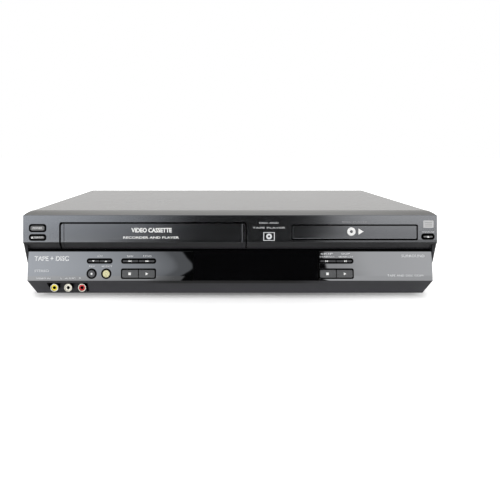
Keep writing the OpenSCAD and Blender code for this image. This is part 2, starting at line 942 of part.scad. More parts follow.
module front_board() {
  color([0.12, 0.36, 0.2])
    along_y(board_d, board_d + board_t)
      polygon([
        [-sole_w / 2 + 5, jack_z - 3],
        [sole_w / 2 - 5, jack_z - 3],
        [panel_w / 2 - 5, panel_bottom_z + 1],
        [panel_w / 2 - 5, 46],
        [right_tower_x1, 47],
        [right_tower_x1, 70],
        [right_tower_x0, 70],
        [right_tower_x0, 46],
        [tower_x1, 46],
        [tower_x1, tower_z],
        [tower_x0, tower_z],
        [tower_x0, 47],
        [-panel_w / 2 + 5, 46],
        [-panel_w / 2 + 5, panel_bottom_z + 1]
      ]);
}

module key_switch(x, z) {
  box(x - 3, x + 3, board_d - switch_h, board_d - 0.05, z - 2.5, z + 2.5);
  rod_along_y(x, z, plunger_d, board_d - switch_h + 0.2, 1.7);
}

module front_board_parts() {
  color([0.1, 0.1, 0.11]) {
    key_switch(power_x, power_z);
    key_switch(power_x, eject_z);
    key_switch(open_close_x, open_close_z);
    for (side = [-1, 1]) {
      key_switch(channel_x + side * channel_w / 4, slim_z);
      for (x = [tape_keys_x, disc_keys_x]) {
        key_switch(x + side * pair_w / 4, slim_z);
        key_switch(x + side * pair_w / 4, tall_z);
      }
    }
    key_switch(record_x, tall_z);
    key_switch(select_x, tall_z);
    // controller chip and two connectors on the board's back
    box(window_x - 14, window_x + 14, board_d + board_t, board_d + board_t + 1.6, 26, 40);
    box(deck_x + 40, deck_x + 68, board_d + board_t, board_d + board_t + 1.4, 20, 25);
  }
}

tube_z0 = 25;
tube_z1 = 46;

module display_tube() {
  color([0.2, 0.28, 0.26]) {
    box(window_x - 50, window_x + 50, 8.2, 14, tube_z0, tube_z1);
    for (i = [0:15])
      rod_along_y(window_x - 45 + 6 * i, tube_z0 + 2, 13.9, board_d - 0.05, 0.4);
  }
}

// ---------- boards in the case ----------

module main_board() {
  color([0.12, 0.36, 0.2])
    difference() {
      box(main_board_x0, main_board_x1, board_d0, board_d1, main_board_z, board_top_z);
      for (x = leg_xs)
        for (d = leg_ds)
          rod_along_z(x, d, 0, 40, leg_r + 1.5);
    }
}

// A row of upright capacitors.
module capacitors(x, d, n, pitch, r, h) {
  for (i = [0:n - 1])
    rod_along_z(x + i * pitch, d, board_top_z, board_top_z + h, r);
}

module chip(x, d, w, depth, h) {
  box(x, x + w, d, d + depth, board_top_z, board_top_z + h);
}

module main_board_parts() {
  color([0.15, 0.15, 0.17]) {
    chip(deck_x - 60, 70, 20, 20, 2);
    chip(deck_x - 20, 60, 14, 14, 2);
    chip(deck_x + 10, 90, 24, 24, 2.4);
    chip(deck_x - 70, 120, 30, 12, 3);
    chip(deck_x - 10, 140, 28, 8, 3);
    capacitors(deck_x - 85, 100, 4, 10, 3, 5);
    capacitors(deck_x - 50, 190, 6, 9, 2.5, 5);
    capacitors(main_board_x1 - 22, 90, 2, 11, 4, 12);
    // connectors for the ribbons
    chip(deck_x + 40, board_d0 + 4, 28, 5, 5);
    box(main_board_x1 - 8, main_board_x1 - 3, 150, 180, board_top_z, board_top_z + 6);
  }
}

module power_board() {
  color([0.5, 0.38, 0.2])
    box(power_board_x0, power_board_x1, power_board_d0, board_d1, main_board_z, board_top_z);
}

module power_board_parts() {
  color([0.2, 0.2, 0.2]) {
    // transformer: core with its winding
    chip(tray_x - 25, 190, 42, 16, 26);
    chip(tray_x - 18, 184, 28, 28, 20);
    // smoothing capacitors
    capacitors(tray_x + 40, 195, 1, 10, 12, 28);
    capacitors(tray_x - 50, 90, 4, 14, 5, 20);
    // finned heat sink
    for (i = [0:5])
      chip(tray_x - 60, 200 + 5 * i, 22, 2, 30);
    chip(tray_x - 60, 200, 3, 27, 30);
    // fuse holder and choke
    chip(tray_x + 40, 225, 22, 7, 9);
    rod_along_z(tray_x + 8, 150, board_top_z, board_top_z + 14, 10);
  }
}

module tuner_box() {
  front_face = rear_d - sheet_t - fit_gap;
  color([0.7, 0.7, 0.7])
    difference() {
      union() {
        box(tuner_x - 18, tuner_x + 18, front_face - 28, front_face, board_top_z, 68);
        rod_along_y(tuner_x, aerial_zs[0], front_face - 0.5, rear_d + 7, aerial_in_r + 1.2);
        rod_along_y(tuner_x, aerial_zs[1], front_face - 0.5, rear_d + 7, aerial_out_r);
      }
      // aerial input: a socket with a hollow centre contact
      difference() {
        rod_along_y(tuner_x, aerial_zs[0], rear_d - 4, rear_d + 8, aerial_in_r);
        rod_along_y(tuner_x, aerial_zs[0], rear_d - 5, rear_d + 3, 2);
      }
      rod_along_y(tuner_x, aerial_zs[0], rear_d - 2, rear_d + 4, 1.25);
      // aerial output: a sleeve around a pin
      difference() {
        rod_along_y(tuner_x, aerial_zs[1], rear_d - 4, rear_d + 8, aerial_out_r - 0.6);
        rod_along_y(tuner_x, aerial_zs[1], rear_d - 5, rear_d + 6, 1.15);
      }
    }
}

module scart_sockets() {
  color([0.1, 0.1, 0.1])
    for (z = scart_zs)
      difference() {
        union() {
          box(scart_x - scart_half, scart_x + scart_half, rear_d - 16, rear_d + 1.5, z - 8, z + 8);
          box(scart_x - scart_half, scart_x + scart_half, rear_d - 16, rear_d - 8,
              z == scart_zs[0] ? board_top_z : z - 18, z);
        }
        // rim groove around the contact block
        difference() {
          box(scart_x - scart_half + 1, scart_x + scart_half - 1, rear_d - 8, rear_d + 5, z - 7, z + 7);
          box(scart_x - scart_half + 2.2, scart_x + scart_half - 2.2, rear_d - 9, rear_d + 0.5, z - 5.8, z + 5.8);
        }
        // contact slots
        for (i = [0:9])
          for (row = [-1, 1])
            box(scart_x - 18.6 + 3.8 * i + row, scart_x - 17.6 + 3.8 * i + row, rear_d - 8, rear_d + 5,
                z + 2.4 * row - 1.6, z + 2.4 * row + 1.6);
      }
}

// A carrier that stands on the main board, with one cell for each jack.
module rear_jack_block() {
  half_x = 7.2 - cell_gap / 2;
  half_z = 9 - cell_gap / 2;
  color([0.12, 0.12, 0.12]) {
    union() {
      box(rear_jacks_x - 28.7, rear_jacks_x + 28.7, rear_d - 10, rear_d - 5.1, board_top_z, rear_jack_zs[1] + 9);
      box(rear_jacks_x - 28.7, rear_jacks_x + 28.7, rear_d - 13, rear_d - 9, board_top_z, board_top_z + 4);
    }
    for (x = rear_jack_xs)
      for (z = rear_jack_zs)
        difference() {
          union() {
            box(rear_jacks_x + x - half_x, rear_jacks_x + x + half_x, rear_d - 5, rear_d + 0.5, z - half_z,
                z + half_z);
            rod_along_y(rear_jacks_x + x, z, rear_d, rear_d + jack_proud, jack_r);
          }
          rod_along_y(rear_jacks_x + x, z, rear_d - 6, rear_d + jack_proud + 1, jack_bore_r);
        }
  }
}

module mains_inlet() {
  cavity_d = 11;
  color([0.08, 0.08, 0.08])
    union() {
      difference() {
        union() {
          box(mains_x - 13, mains_x + 13, rear_d - 16, rear_d, mains_z - 8, mains_z + 8);
          box(mains_x - 15.5, mains_x + 15.5, rear_d + 0.1, rear_d + 2, mains_z - 10, mains_z + 10);
          box(mains_x - 13, mains_x + 13, rear_d - 16, rear_d - 6, board_top_z, mains_z);
          box(mains_x - 13, mains_x + 13, rear_d - 1, rear_d + 1, mains_z - 8, mains_z + 8);
        }
        along_y(rear_d + 2 - cavity_d, rear_d + 5)
          polygon(rounded(mains_x - 8.4, mains_x + 8.4, mains_z - 4.1, mains_z + 4.1, same(4.05)));
      }
      for (side = [-1, 1])
        rod_along_y(mains_x + side * mains_pitch / 2, mains_z, rear_d + 1.5 - cavity_d, rear_d - 0.5, mains_pin_r);
    }
}

module ribbon_cables() {
  strip = 0.5;
  color([0.8, 0.8, 0.78]) {
    // main board to front board
    along_x(deck_x + 42, deck_x + 66)
      polygon([
        [board_d + board_t + 1.5, 22],
        [board_d + board_t + 3.5, 22],
        [board_d0 + 6.5, board_top_z + 5.1],
        [board_d0 + 7, board_top_z + 5.1],
        [board_d0 + 7, board_top_z + 5.6],
        [board_d + board_t + 3.5 + strip, 22.5],
        [board_d + board_t + 1.5, 22.5]
      ]);
    // main board to disc drive
    along_y(152, 178)
      polygon([
        [main_board_x1 - 6, board_top_z + 6.1],
        [main_board_x1 - 6 + strip, board_top_z + 6.1],
        [main_board_x1 - 6 + strip, 40],
        [tray_x - frame_half - 0.2, 50],
        [tray_x - frame_half - 0.2, 66],
        [tray_x - frame_half - 0.2 - strip, 66],
        [tray_x - frame_half - 0.2 - strip, 50.3],
        [main_board_x1 - 6, 40.3]
      ]);
  }
}

// ---------- cassette mechanism ----------

bushing_r = 5;

module deck_chassis() {
  color([0.72, 0.73, 0.74])
    difference() {
      union() {
        box(deck_x - deck_half, deck_x + deck_half, deck_d0, deck_d1, deck_z, deck_top_z);
        for (side = [-1, 1])
          box(deck_x + min(side * track_half, side * deck_half), deck_x + max(side * track_half, side * deck_half),
              holder_d0 - 2, holder_d1 + 4, deck_z, cassette_z + cassette_h);
        for (x = leg_xs)
          for (d = leg_ds)
            rod_along_z(x, d, pan_z, deck_z + 0.5, leg_r);
        // reel shafts
        for (side = [-1, 1])
          rod_along_z(deck_x + side * reel_pitch / 2, reel_d, deck_z, reel_table_z + 6, reel_shaft_r);
        // capstan bushing and the pinch arm's stepped post
        rod_along_z(capstan_x, capstan_d, deck_z, 44, bushing_r);
        rod_along_z(pinch_x, pinch_d, deck_z, 39.7, 4);
        rod_along_z(pinch_x, pinch_d, deck_z, 66, reel_shaft_r);
      }
      // tracks of the holder's guide pins
      for (d = guide_pin_ds)
        along_x(deck_x - deck_half - 1, deck_x + deck_half + 1)
          polygon(rounded(d - guide_pin_r - 0.15, d + guide_pin_r + 0.15,
                          guide_pin_z - holder_drop - guide_pin_r - 0.4, guide_pin_z + guide_pin_r + 0.4,
                          same(guide_pin_r)));
      rod_along_z(capstan_x, capstan_d, deck_z - 1, 50, capstan_r + running_gap);
      // lightening holes under the reels' brake plate
      for (x = [-62, 0, 62])
        box(deck_x + x - 9, deck_x + x + 9, deck_d0 + 12, reel_d - 24, deck_z - 1, deck_top_z + 1);
    }
}

rotor_z0 = 20.4;
rotor_z1 = 28;

module deck_motor() {
  color([0.3, 0.3, 0.32])
    union() {
      along_z(18, 19.2)
        translate([capstan_x, capstan_d])
          square([52, 52], center = true);
      for (sx = [-1, 1])
        for (sd = [-1, 1])
          rod_along_z(capstan_x + 23 * sx, capstan_d + 23 * sd, 18.5, deck_z, 2.5);
      // loading motor on the plate, beside the drum
      rod_along_z(deck_x - deck_half + 24, deck_d1 - 24, deck_top_z, deck_top_z + 26, 12);
    }
}

module capstan() {
  color([0.8, 0.8, 0.8])
    union() {
      rod_along_z(capstan_x, capstan_d, rotor_z0, 72, capstan_r);
      rod_along_z(capstan_x, capstan_d, rotor_z0, rotor_z1, 19);
    }
}

drum_shaft_r = 3;

module drum_base() {
  color([0.75, 0.75, 0.76])
    difference() {
      union() {
        rod_along_z(deck_x, drum_d, deck_top_z, 42, drum_r - 8);
        rod_along_z(deck_x, drum_d, 40, drum_split_z, drum_r);
      }
      rod_along_z(deck_x, drum_d, 44, 60, drum_shaft_r + running_gap);
    }
}

module head_drum() {
  color([0.85, 0.85, 0.86])
    difference() {
      union() {
        rod_along_z(deck_x, drum_d, drum_split_z + joint_gap, 76, drum_r);
        rod_along_z(deck_x, drum_d, 76, 80, 11);
        rod_along_z(deck_x, drum_d, 44.5, 60, drum_shaft_r);
      }
      // two head windows at the lower edge
      for (side = [-1, 1])
        box(deck_x - 3, deck_x + 3, drum_d + side * drum_r - 2, drum_d + side * drum_r + 2, drum_split_z, 59);
    }
}

module reel(x) {
  spindle_z = reel_table_z + 10;
  color([0.1, 0.1, 0.1])
    difference() {
      union() {
        rod_along_z(x, reel_d, deck_top_z + joint_gap, reel_table_z, 19);
        rod_along_z(x, reel_d, reel_table_z - 0.5, spindle_z, 5);
        for (a = [0:120:359])
          translate([x, front_y + reel_d, reel_table_z - 0.5])
            rotate([0, 0, a])
              translate([0, -0.8, 0])
                cube([7.5, 1.6, spindle_z - reel_table_z - 1.5]);
      }
      rod_along_z(x, reel_d, deck_z, reel_table_z + 6.5, reel_shaft_r + running_gap);
    }
}

module supply_reel() {
  reel(deck_x - reel_pitch / 2);
}

module takeup_reel() {
  reel(deck_x + reel_pitch / 2);
}

module pinch_arm() {
  roller_x = pinch_x + pinch_reach * cos(pinch_rest_angle);
  roller_d = pinch_d + pinch_reach * sin(pinch_rest_angle);
  color([0.25, 0.25, 0.25])
    difference() {
      union() {
        rod_along_z(pinch_x, pinch_d, 40, 64, 3.8);
        translate([pinch_x, front_y + pinch_d, 60.5])
          rotate([0, 0, pinch_rest_angle])
            translate([0, -2.5, 0])
              cube([pinch_reach, 5, 2.5]);
        rod_along_z(roller_x, roller_d, 58, 63, 3.2);
        rod_along_z(roller_x, roller_d, 44, 58.5, pinch_roller_r);
      }
      rod_along_z(pinch_x, pinch_d, 39, 67, reel_shaft_r + running_gap);
    }
}

module cassette_holder() {
  ledge = 10;
  color([0.66, 0.67, 0.68])
    difference() {
      union() {
        box(deck_x - holder_half, deck_x + holder_half, holder_d0, holder_d1, holder_z0, holder_z1);
        for (d = guide_pin_ds)
          rod_along_x(deck_x - deck_half - 1.5, deck_x + deck_half + 1.5, d, guide_pin_z, guide_pin_r);
      }
      // the cassette's space, open to the front and to the back
      box(deck_x - holder_half + sheet_t, deck_x + holder_half - sheet_t, holder_d0 - 1, holder_d1 + 1,
          holder_z0 + sheet_t, holder_z1 - sheet_t);
      // floor open between the two ledges, roof open in the middle
      box(deck_x - holder_half + ledge, deck_x + holder_half - ledge, holder_d0 - 1, holder_d1 + 1, holder_z0 - 1,
          holder_z0 + sheet_t + 0.1);
      box(deck_x - 40, deck_x + 40, holder_d0 + 30, holder_d1 + 1, holder_z1 - 2, holder_z1 + 1);
    }
}

module tape_guides() {
  color([0.7, 0.7, 0.72]) {
    for (side = [-1, 1]) {
      rod_along_z(deck_x + (deck_half - 60) * side, capstan_d - 1, deck_top_z, 68, 2.5);
      rod_along_z(deck_x + (deck_half - 52) * side, capstan_d + 14, deck_top_z, 68, 3);
      rod_along_z(deck_x + (deck_half - 64) * side, drum_d + 22, deck_top_z, 68, 3);
    }
    // full erase head, then the sound and control head
    erase_x = deck_x - deck_half + 36;
    sound_x = deck_x + deck_half - 48;
    for (x = [erase_x, sound_x])
      box(x, x + 10, capstan_d - 5, capstan_d + 3, deck_top_z, 66);
  }
}

// ---------- disc drive ----------

// Outline of a gear with straight-sided teeth, thinned for backlash.
function gear_points(teeth, m) = [
  for (i = [0:teeth - 1])
    for (corner_of_tooth = [[-0.32, -1.2], [-0.13, 0.85], [0.13, 0.85], [0.32, -1.2]])
      let (
        a = 360 * (i + corner_of_tooth[0]) / teeth,
        r = m * (teeth / 2 + corner_of_tooth[1])
      )
      [r * cos(a), r * sin(a)]
];

module gear(x, d, z0, z1, teeth, bore, phase) {
  difference() {
    translate([x, front_y + d, z0])
      rotate([0, 0, phase])
        linear_extrude(z1 - z0)
          polygon(gear_points(teeth, gear_m));
    rod_along_z(x, d, z0 - 1, z1 + 1, bore);
  }
}

// Teeth of a rack whose pitch line is at x; they point to side, and one gap lies at depth d_gap.
module rack(x, d_gap, first, last, z0, z1, side) {
  pitch = PI * gear_m;
  for (i = [first:last])
    along_z(z0, z1)
      polygon([
        [x - side * 1.25 * gear_m, d_gap + (i + 0.5) * pitch - 0.33 * pitch],
        [x + side * 0.85 * gear_m, d_gap + (i + 0.5) * pitch - 0.11 * pitch],
        [x + side * 0.85 * gear_m, d_gap + (i + 0.5) * pitch + 0.11 * pitch],
        [x - side * 1.25 * gear_m, d_gap + (i + 0.5) * pitch + 0.33 * pitch]
      ]);
}

module drive_frame() {
  rail_z1 = 72;
  color([0.2, 0.2, 0.21])
    difference() {
      union() {
        box(tray_x - frame_half, tray_x + frame_half, frame_d0, frame_d1, frame_z0, frame_floor_z);
        for (side = [-1, 1]) {
          box(tray_x + side * frame_half - (side > 0 ? 2 : 0), tray_x + side * frame_half + (side > 0 ? 0 : 2),
              frame_d0, frame_d1, frame_z0, frame_z1);
          // rail with a groove for the tray's tongue
          difference() {
            box(tray_x + min(side * (tray_half + 0.5), side * (frame_half - 1)),
                tray_x + max(side * (tray_half + 0.5), side * (frame_half - 1)), frame_d0, tray_d1 + 2, 62, rail_z1);
            box(tray_x + min(side * tray_half, side * (tongue_half + 0.4)),
                tray_x + max(side * tray_half, side * (tongue_half + 0.4)), frame_d0 - 1, tray_d1 + 3,
                tray_z0 - 0.3, tray_z0 + 2.3);
          }
        }
        box(tray_x - frame_half, tray_x + frame_half, frame_d1 - 2, frame_d1, frame_z0, frame_z1 - 10);
        // brackets of the guide rods
        for (side = [-1, 1])
          for (d = [rod_d0, rod_d1 - 3])
            box(tray_x + side * rod_x - 3.2, tray_x + side * rod_x + 3.2, d, d + 3, frame_floor_z - 0.5, rod_z + 3);
        // legs down to the base pan, in front of and behind the power board
        for (side = [-1, 1])
          for (d = [frame_d0 + 22])
            rod_along_z(tray_x + side * (frame_half - 8), d, pan_z, frame_z0 + 1, 4);
      }
      for (side = [-1, 1])
        rod_along_y(tray_x + side * rod_x, rod_z, rod_d0 - 1, rod_d1 + 1, rod_r + running_gap);
    }
}

module drive_motors() {
  color([0.6, 0.6, 0.62]) {
    // spindle motor with a bore for the turntable's shaft
    difference() {
      rod_along_z(tray_x, spindle_d, frame_floor_z, 66.5, 12);
      rod_along_z(tray_x, spindle_d, 57, 70, shaft_r + running_gap);
    }
    // geared motors under the two gears, each with its shaft
    rod_along_z(loading_x, loading_d, frame_floor_z, rack_z0 - 0.3, 8);
    rod_along_z(loading_x, loading_d, frame_floor_z, rack_z0 + 3, shaft_r);
    rod_along_z(feed_x, feed_d, frame_floor_z, 56.5, 4.5);
    rod_along_z(feed_x, feed_d, frame_floor_z, 60, shaft_r);
  }
}

module disc_tray() {
  color([0.16, 0.16, 0.17])
    difference() {
      union() {
        box(tray_x - tray_half, tray_x + tray_half, tray_d0, tray_d1, tray_z0, tray_z1);
        box(tray_x - tongue_half, tray_x + tongue_half, tray_d0 + 2, tray_d1, tray_z0, tray_z0 + 2);
        // rack under the left edge
        box(rack_x - 1.5, rack_x + 4 - 1.2 * gear_m, tray_d0 + 2, tray_d1, rack_z0, tray_z0 + 0.5);
        rack(rack_x + 4, loading_d, -7, floor((tray_d1 - loading_d) / (PI * gear_m)) - 1, rack_z0, tray_z0 + 0.5, 1);
      }
      // disc well with the smaller well of an 80 mm disc
      rod_along_z(tray_x, spindle_d, well_z, tray_z1 + 1, disc_w / 2 + 1);
      rod_along_z(tray_x, spindle_d, well_z - 1.2, tray_z1 + 1, 40.5);
      // finger notch at each side of the well
      box(tray_x - tray_half + 6, tray_x - tray_half + 24, spindle_d - 62, spindle_d - 50, well_z, tray_z1 + 1);
      box(tray_x + tray_half - 24, tray_x + tray_half - 6, spindle_d - 62, spindle_d - 50, well_z, tray_z1 + 1);
      // slot over the turntable and the pickup, open to the back
      box(tray_x - slot_half, tray_x + slot_half, spindle_d, tray_d1 + 1, tray_z0 - 1, tray_z1 + 1);
      rod_along_z(tray_x, spindle_d, tray_z0 - 1, tray_z1 + 1, slot_half);
      // lighter underside
      box(tray_x - 20, tray_x + tray_half - 6, tray_d0 + 4, spindle_d - 24, tray_z0 - 1, tray_z0 + 1.5);
    }
}

module tray_front() {
  color([0.36, 0.38, 0.4])
    along_y(0, 3)
      polygon(rounded(tray_x - tray_front_half, tray_x + tray_front_half, tray_front_z,
                      tray_front_z + tray_front_h, same(1)));
}

module loading_gear() {
  color([0.9, 0.9, 0.86])
    gear(loading_x, loading_d, rack_z0, tray_z0 - 0.3, loading_teeth, shaft_r + running_gap, 180);
}

module feed_gear() {
  color([0.9, 0.9, 0.86])
    gear(feed_x, feed_d, 57, 60, feed_teeth, shaft_r + running_gap, 180);
}

module turntable() {
  color([0.1, 0.1, 0.1])
    union() {
      rod_along_z(tray_x, spindle_d, 68, well_z + 0.5, 14.5);
      rod_along_z(tray_x, spindle_d, 66.8, 69, 8);
      rod_along_z(tray_x, spindle_d, 70, 72.6, 7.4);
      rod_along_z(tray_x, spindle_d, 58, 69, shaft_r);
    }
}

clamp_z0 = tray_z1 + 2.5;

module clamp_bridge() {
  color([0.72, 0.73, 0.74])
    difference() {
      box(tray_x - frame_half, tray_x + frame_half, spindle_d - 17, spindle_d + 17, frame_z1, frame_z1 + 1);
      rod_along_z(tray_x, spindle_d, frame_z1 - 1, frame_z1 + 2, clamp_neck_r + 0.5);
    }
}

module clamp_disc() {
  color([0.12, 0.12, 0.12])
    difference() {
      union() {
        rod_along_z(tray_x, spindle_d, clamp_z0, clamp_z0 + 2.5, 14);
        rod_along_z(tray_x, spindle_d, clamp_z0, frame_z1 + 2, clamp_neck_r);
        rod_along_z(tray_x, spindle_d, frame_z1 + 1 + joint_gap, frame_z1 + 3, 13);
      }
      rod_along_z(tray_x, spindle_d, clamp_z0 - 1, clamp_z0 + 1.5, 7.8);
    }
}

module pickup_sled() {
  rack_line = tray_x + sled_half + 2;
  color([0.3, 0.3, 0.32])
    difference() {
      union() {
        box(tray_x - sled_half, tray_x + sled_half, sled_d0, sled_d1, 56, 61.5);
        rod_along_z(tray_x, lens_d, 61, 63.5, 4);
        rod_along_z(tray_x, lens_d, 61, 64, 2.4);
        box(tray_x + sled_half - 0.2, rack_line - 1.2 * gear_m, feed_d - sled_travel - 7, feed_d + 7, 57, 60);
        rack(rack_line, feed_d, -floor(sled_travel / (PI * gear_m)) - 2, 1, 57, 60, 1);
      }
      for (side = [-1, 1])
        rod_along_y(tray_x + side * rod_x, rod_z, sled_d0 - 1, sled_d1 + 1, rod_r + running_gap);
    }
}

module guide_rods() {
  color([0.85, 0.85, 0.86])
    for (side = [-1, 1])
      rod_along_y(tray_x + side * rod_x, rod_z, rod_d0, rod_d1, rod_r);
}

// ---------- nodes ----------

top_cover();
base_pan();
rear_panel();
front_fascia();
control_panel();
display_window();
cassette_door();
feet();
cover_screws();
power_button();
eject_button();
open_close_button();
channel_down_button();
channel_up_button();
record_button();
select_button();
rewind_button();
fast_forward_button();
tape_stop_button();
tape_play_button();
skip_back_button();
skip_forward_button();
disc_stop_button();
disc_play_button();
front_jack_block();
front_jack_sleeves();
front_jack_inserts();
front_board();
front_board_parts();
display_tube();
main_board();
main_board_parts();
power_board();
power_board_parts();
tuner_box();
scart_sockets();
rear_jack_block();
mains_inlet();
ribbon_cables();
deck_chassis();
deck_motor();
drum_base();
head_drum();
capstan();
supply_reel();
takeup_reel();
pinch_arm();
cassette_holder();
tape_guides();
drive_frame();
drive_motors();
disc_tray();
tray_front();
loading_gear();
turntable();
clamp_bridge();
clamp_disc();
pickup_sled();
guide_rods();
feed_gear();
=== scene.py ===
# %% [markdown]
# # A combined cassette and disc player
# The player is a low, wide box: a painted steel cover, a metallic plastic front, a silver key
# panel and a black display window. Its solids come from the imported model, already in the right
# place. This lesson gives them softened edges, finishes and printed marks, and lights them.

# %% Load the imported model
import json
import math
from functools import reduce
import bpy
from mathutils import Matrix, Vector


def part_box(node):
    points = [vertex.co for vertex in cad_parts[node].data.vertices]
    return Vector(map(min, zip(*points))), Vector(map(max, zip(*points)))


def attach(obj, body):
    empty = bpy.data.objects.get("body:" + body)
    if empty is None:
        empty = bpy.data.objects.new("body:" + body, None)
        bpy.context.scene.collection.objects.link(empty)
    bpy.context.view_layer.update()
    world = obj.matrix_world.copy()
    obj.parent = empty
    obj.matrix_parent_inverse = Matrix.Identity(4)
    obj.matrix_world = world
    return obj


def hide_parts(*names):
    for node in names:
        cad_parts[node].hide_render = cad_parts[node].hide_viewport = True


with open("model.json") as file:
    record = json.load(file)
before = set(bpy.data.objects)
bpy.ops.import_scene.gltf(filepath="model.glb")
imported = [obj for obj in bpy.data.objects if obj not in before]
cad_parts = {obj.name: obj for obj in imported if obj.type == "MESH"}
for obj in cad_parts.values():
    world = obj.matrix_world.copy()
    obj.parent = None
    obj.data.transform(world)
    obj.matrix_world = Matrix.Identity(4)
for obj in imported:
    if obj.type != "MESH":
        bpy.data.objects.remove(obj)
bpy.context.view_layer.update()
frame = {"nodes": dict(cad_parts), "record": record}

MM = 0.001
nodes = frame["nodes"]
scene = bpy.context.scene
scene.view_settings.view_transform = "Standard"

# %% [markdown]
# ## The camera
# A product photographer keeps the camera level, so that upright edges stay upright, and slides
# the lens instead of tilting it. In Blender that is a level camera with a lens shift.

# %% The camera
def new_object(name, data):
    """Puts an object with the given data into the scene."""
    added = bpy.data.objects.new(name, data)
    scene.collection.objects.link(added)
    return added


camera = new_object("camera", bpy.data.cameras.new("camera"))
camera.location = (-0.0095, -0.6375, 0.1577)
camera.rotation_euler = (math.radians(90), 0, 0)
camera.data.sensor_width = 36
camera.data.lens = 34.88
camera.data.shift_x = 0.0582
camera.data.shift_y = -0.2058
camera.data.clip_start = 0.01
scene.camera = camera
print("camera at", [round(c, 4) for c in camera.location])

# %% [markdown]
# ## Shader maths
# A pattern is a sum of simple formulas: a ramp across the panel, a ring, a band. Written as
# nodes by hand that takes a page of links. One small class wraps a socket, so that an
# expression such as `1 - ring * 0.3` adds the Math nodes itself.

# %% Sockets that take part in expressions
GENERATED_OUT, OBJECT_OUT = 0, 3


class Term:
    """An output of a node that can be used in an expression."""

    def __init__(self, shop, socket):
        self.shop = shop
        self.socket = socket

    def math(self, operation, *others, clamp=False):
        return self.shop.math(operation, self, *others, clamp=clamp)

    def __add__(self, other): return self.math("ADD", other)
    __radd__ = __add__
    def __sub__(self, other): return self.math("SUBTRACT", other)
    def __rsub__(self, other): return self.shop.math("SUBTRACT", other, self)
    def __mul__(self, other): return self.math("MULTIPLY", other)
    __rmul__ = __mul__
    def __truediv__(self, other): return self.math("DIVIDE", other)
    def __rtruediv__(self, other): return self.shop.math("DIVIDE", other, self)
    def __pow__(self, other): return self.math("POWER", other)
    def __abs__(self): return self.math("ABSOLUTE")
    def most(self, other): return self.math("MAXIMUM", other)
    def sine(self): return self.math("SINE")
    def fraction(self): return self.math("FRACT")
    def clamp(self): return self.math("ADD", 0.0, clamp=True)
    def hypot(self, other): return (self ** 2.0 + other ** 2.0) ** 0.5

    def rise(self, start, end):
        """0 before start, 1 after end, and a smooth step between them. start may be above end."""
        low, high, first, last = (start, end, 0.0, 1.0) if start < end else (end, start, 1.0, 0.0)
        return self.shop.node("ShaderNodeMapRange", {
            "Value": self, "From Min": low, "From Max": high, "To Min": first, "To Max": last,
        }, {"interpolation_type": "SMOOTHSTEP"})

    def between(self, low, high, soft=0.0002):
        """1 between low and high, 0 outside, with edges that take twice soft."""
        return self.rise(low - soft, low + soft) * self.rise(high + soft, high - soft)


made = {}


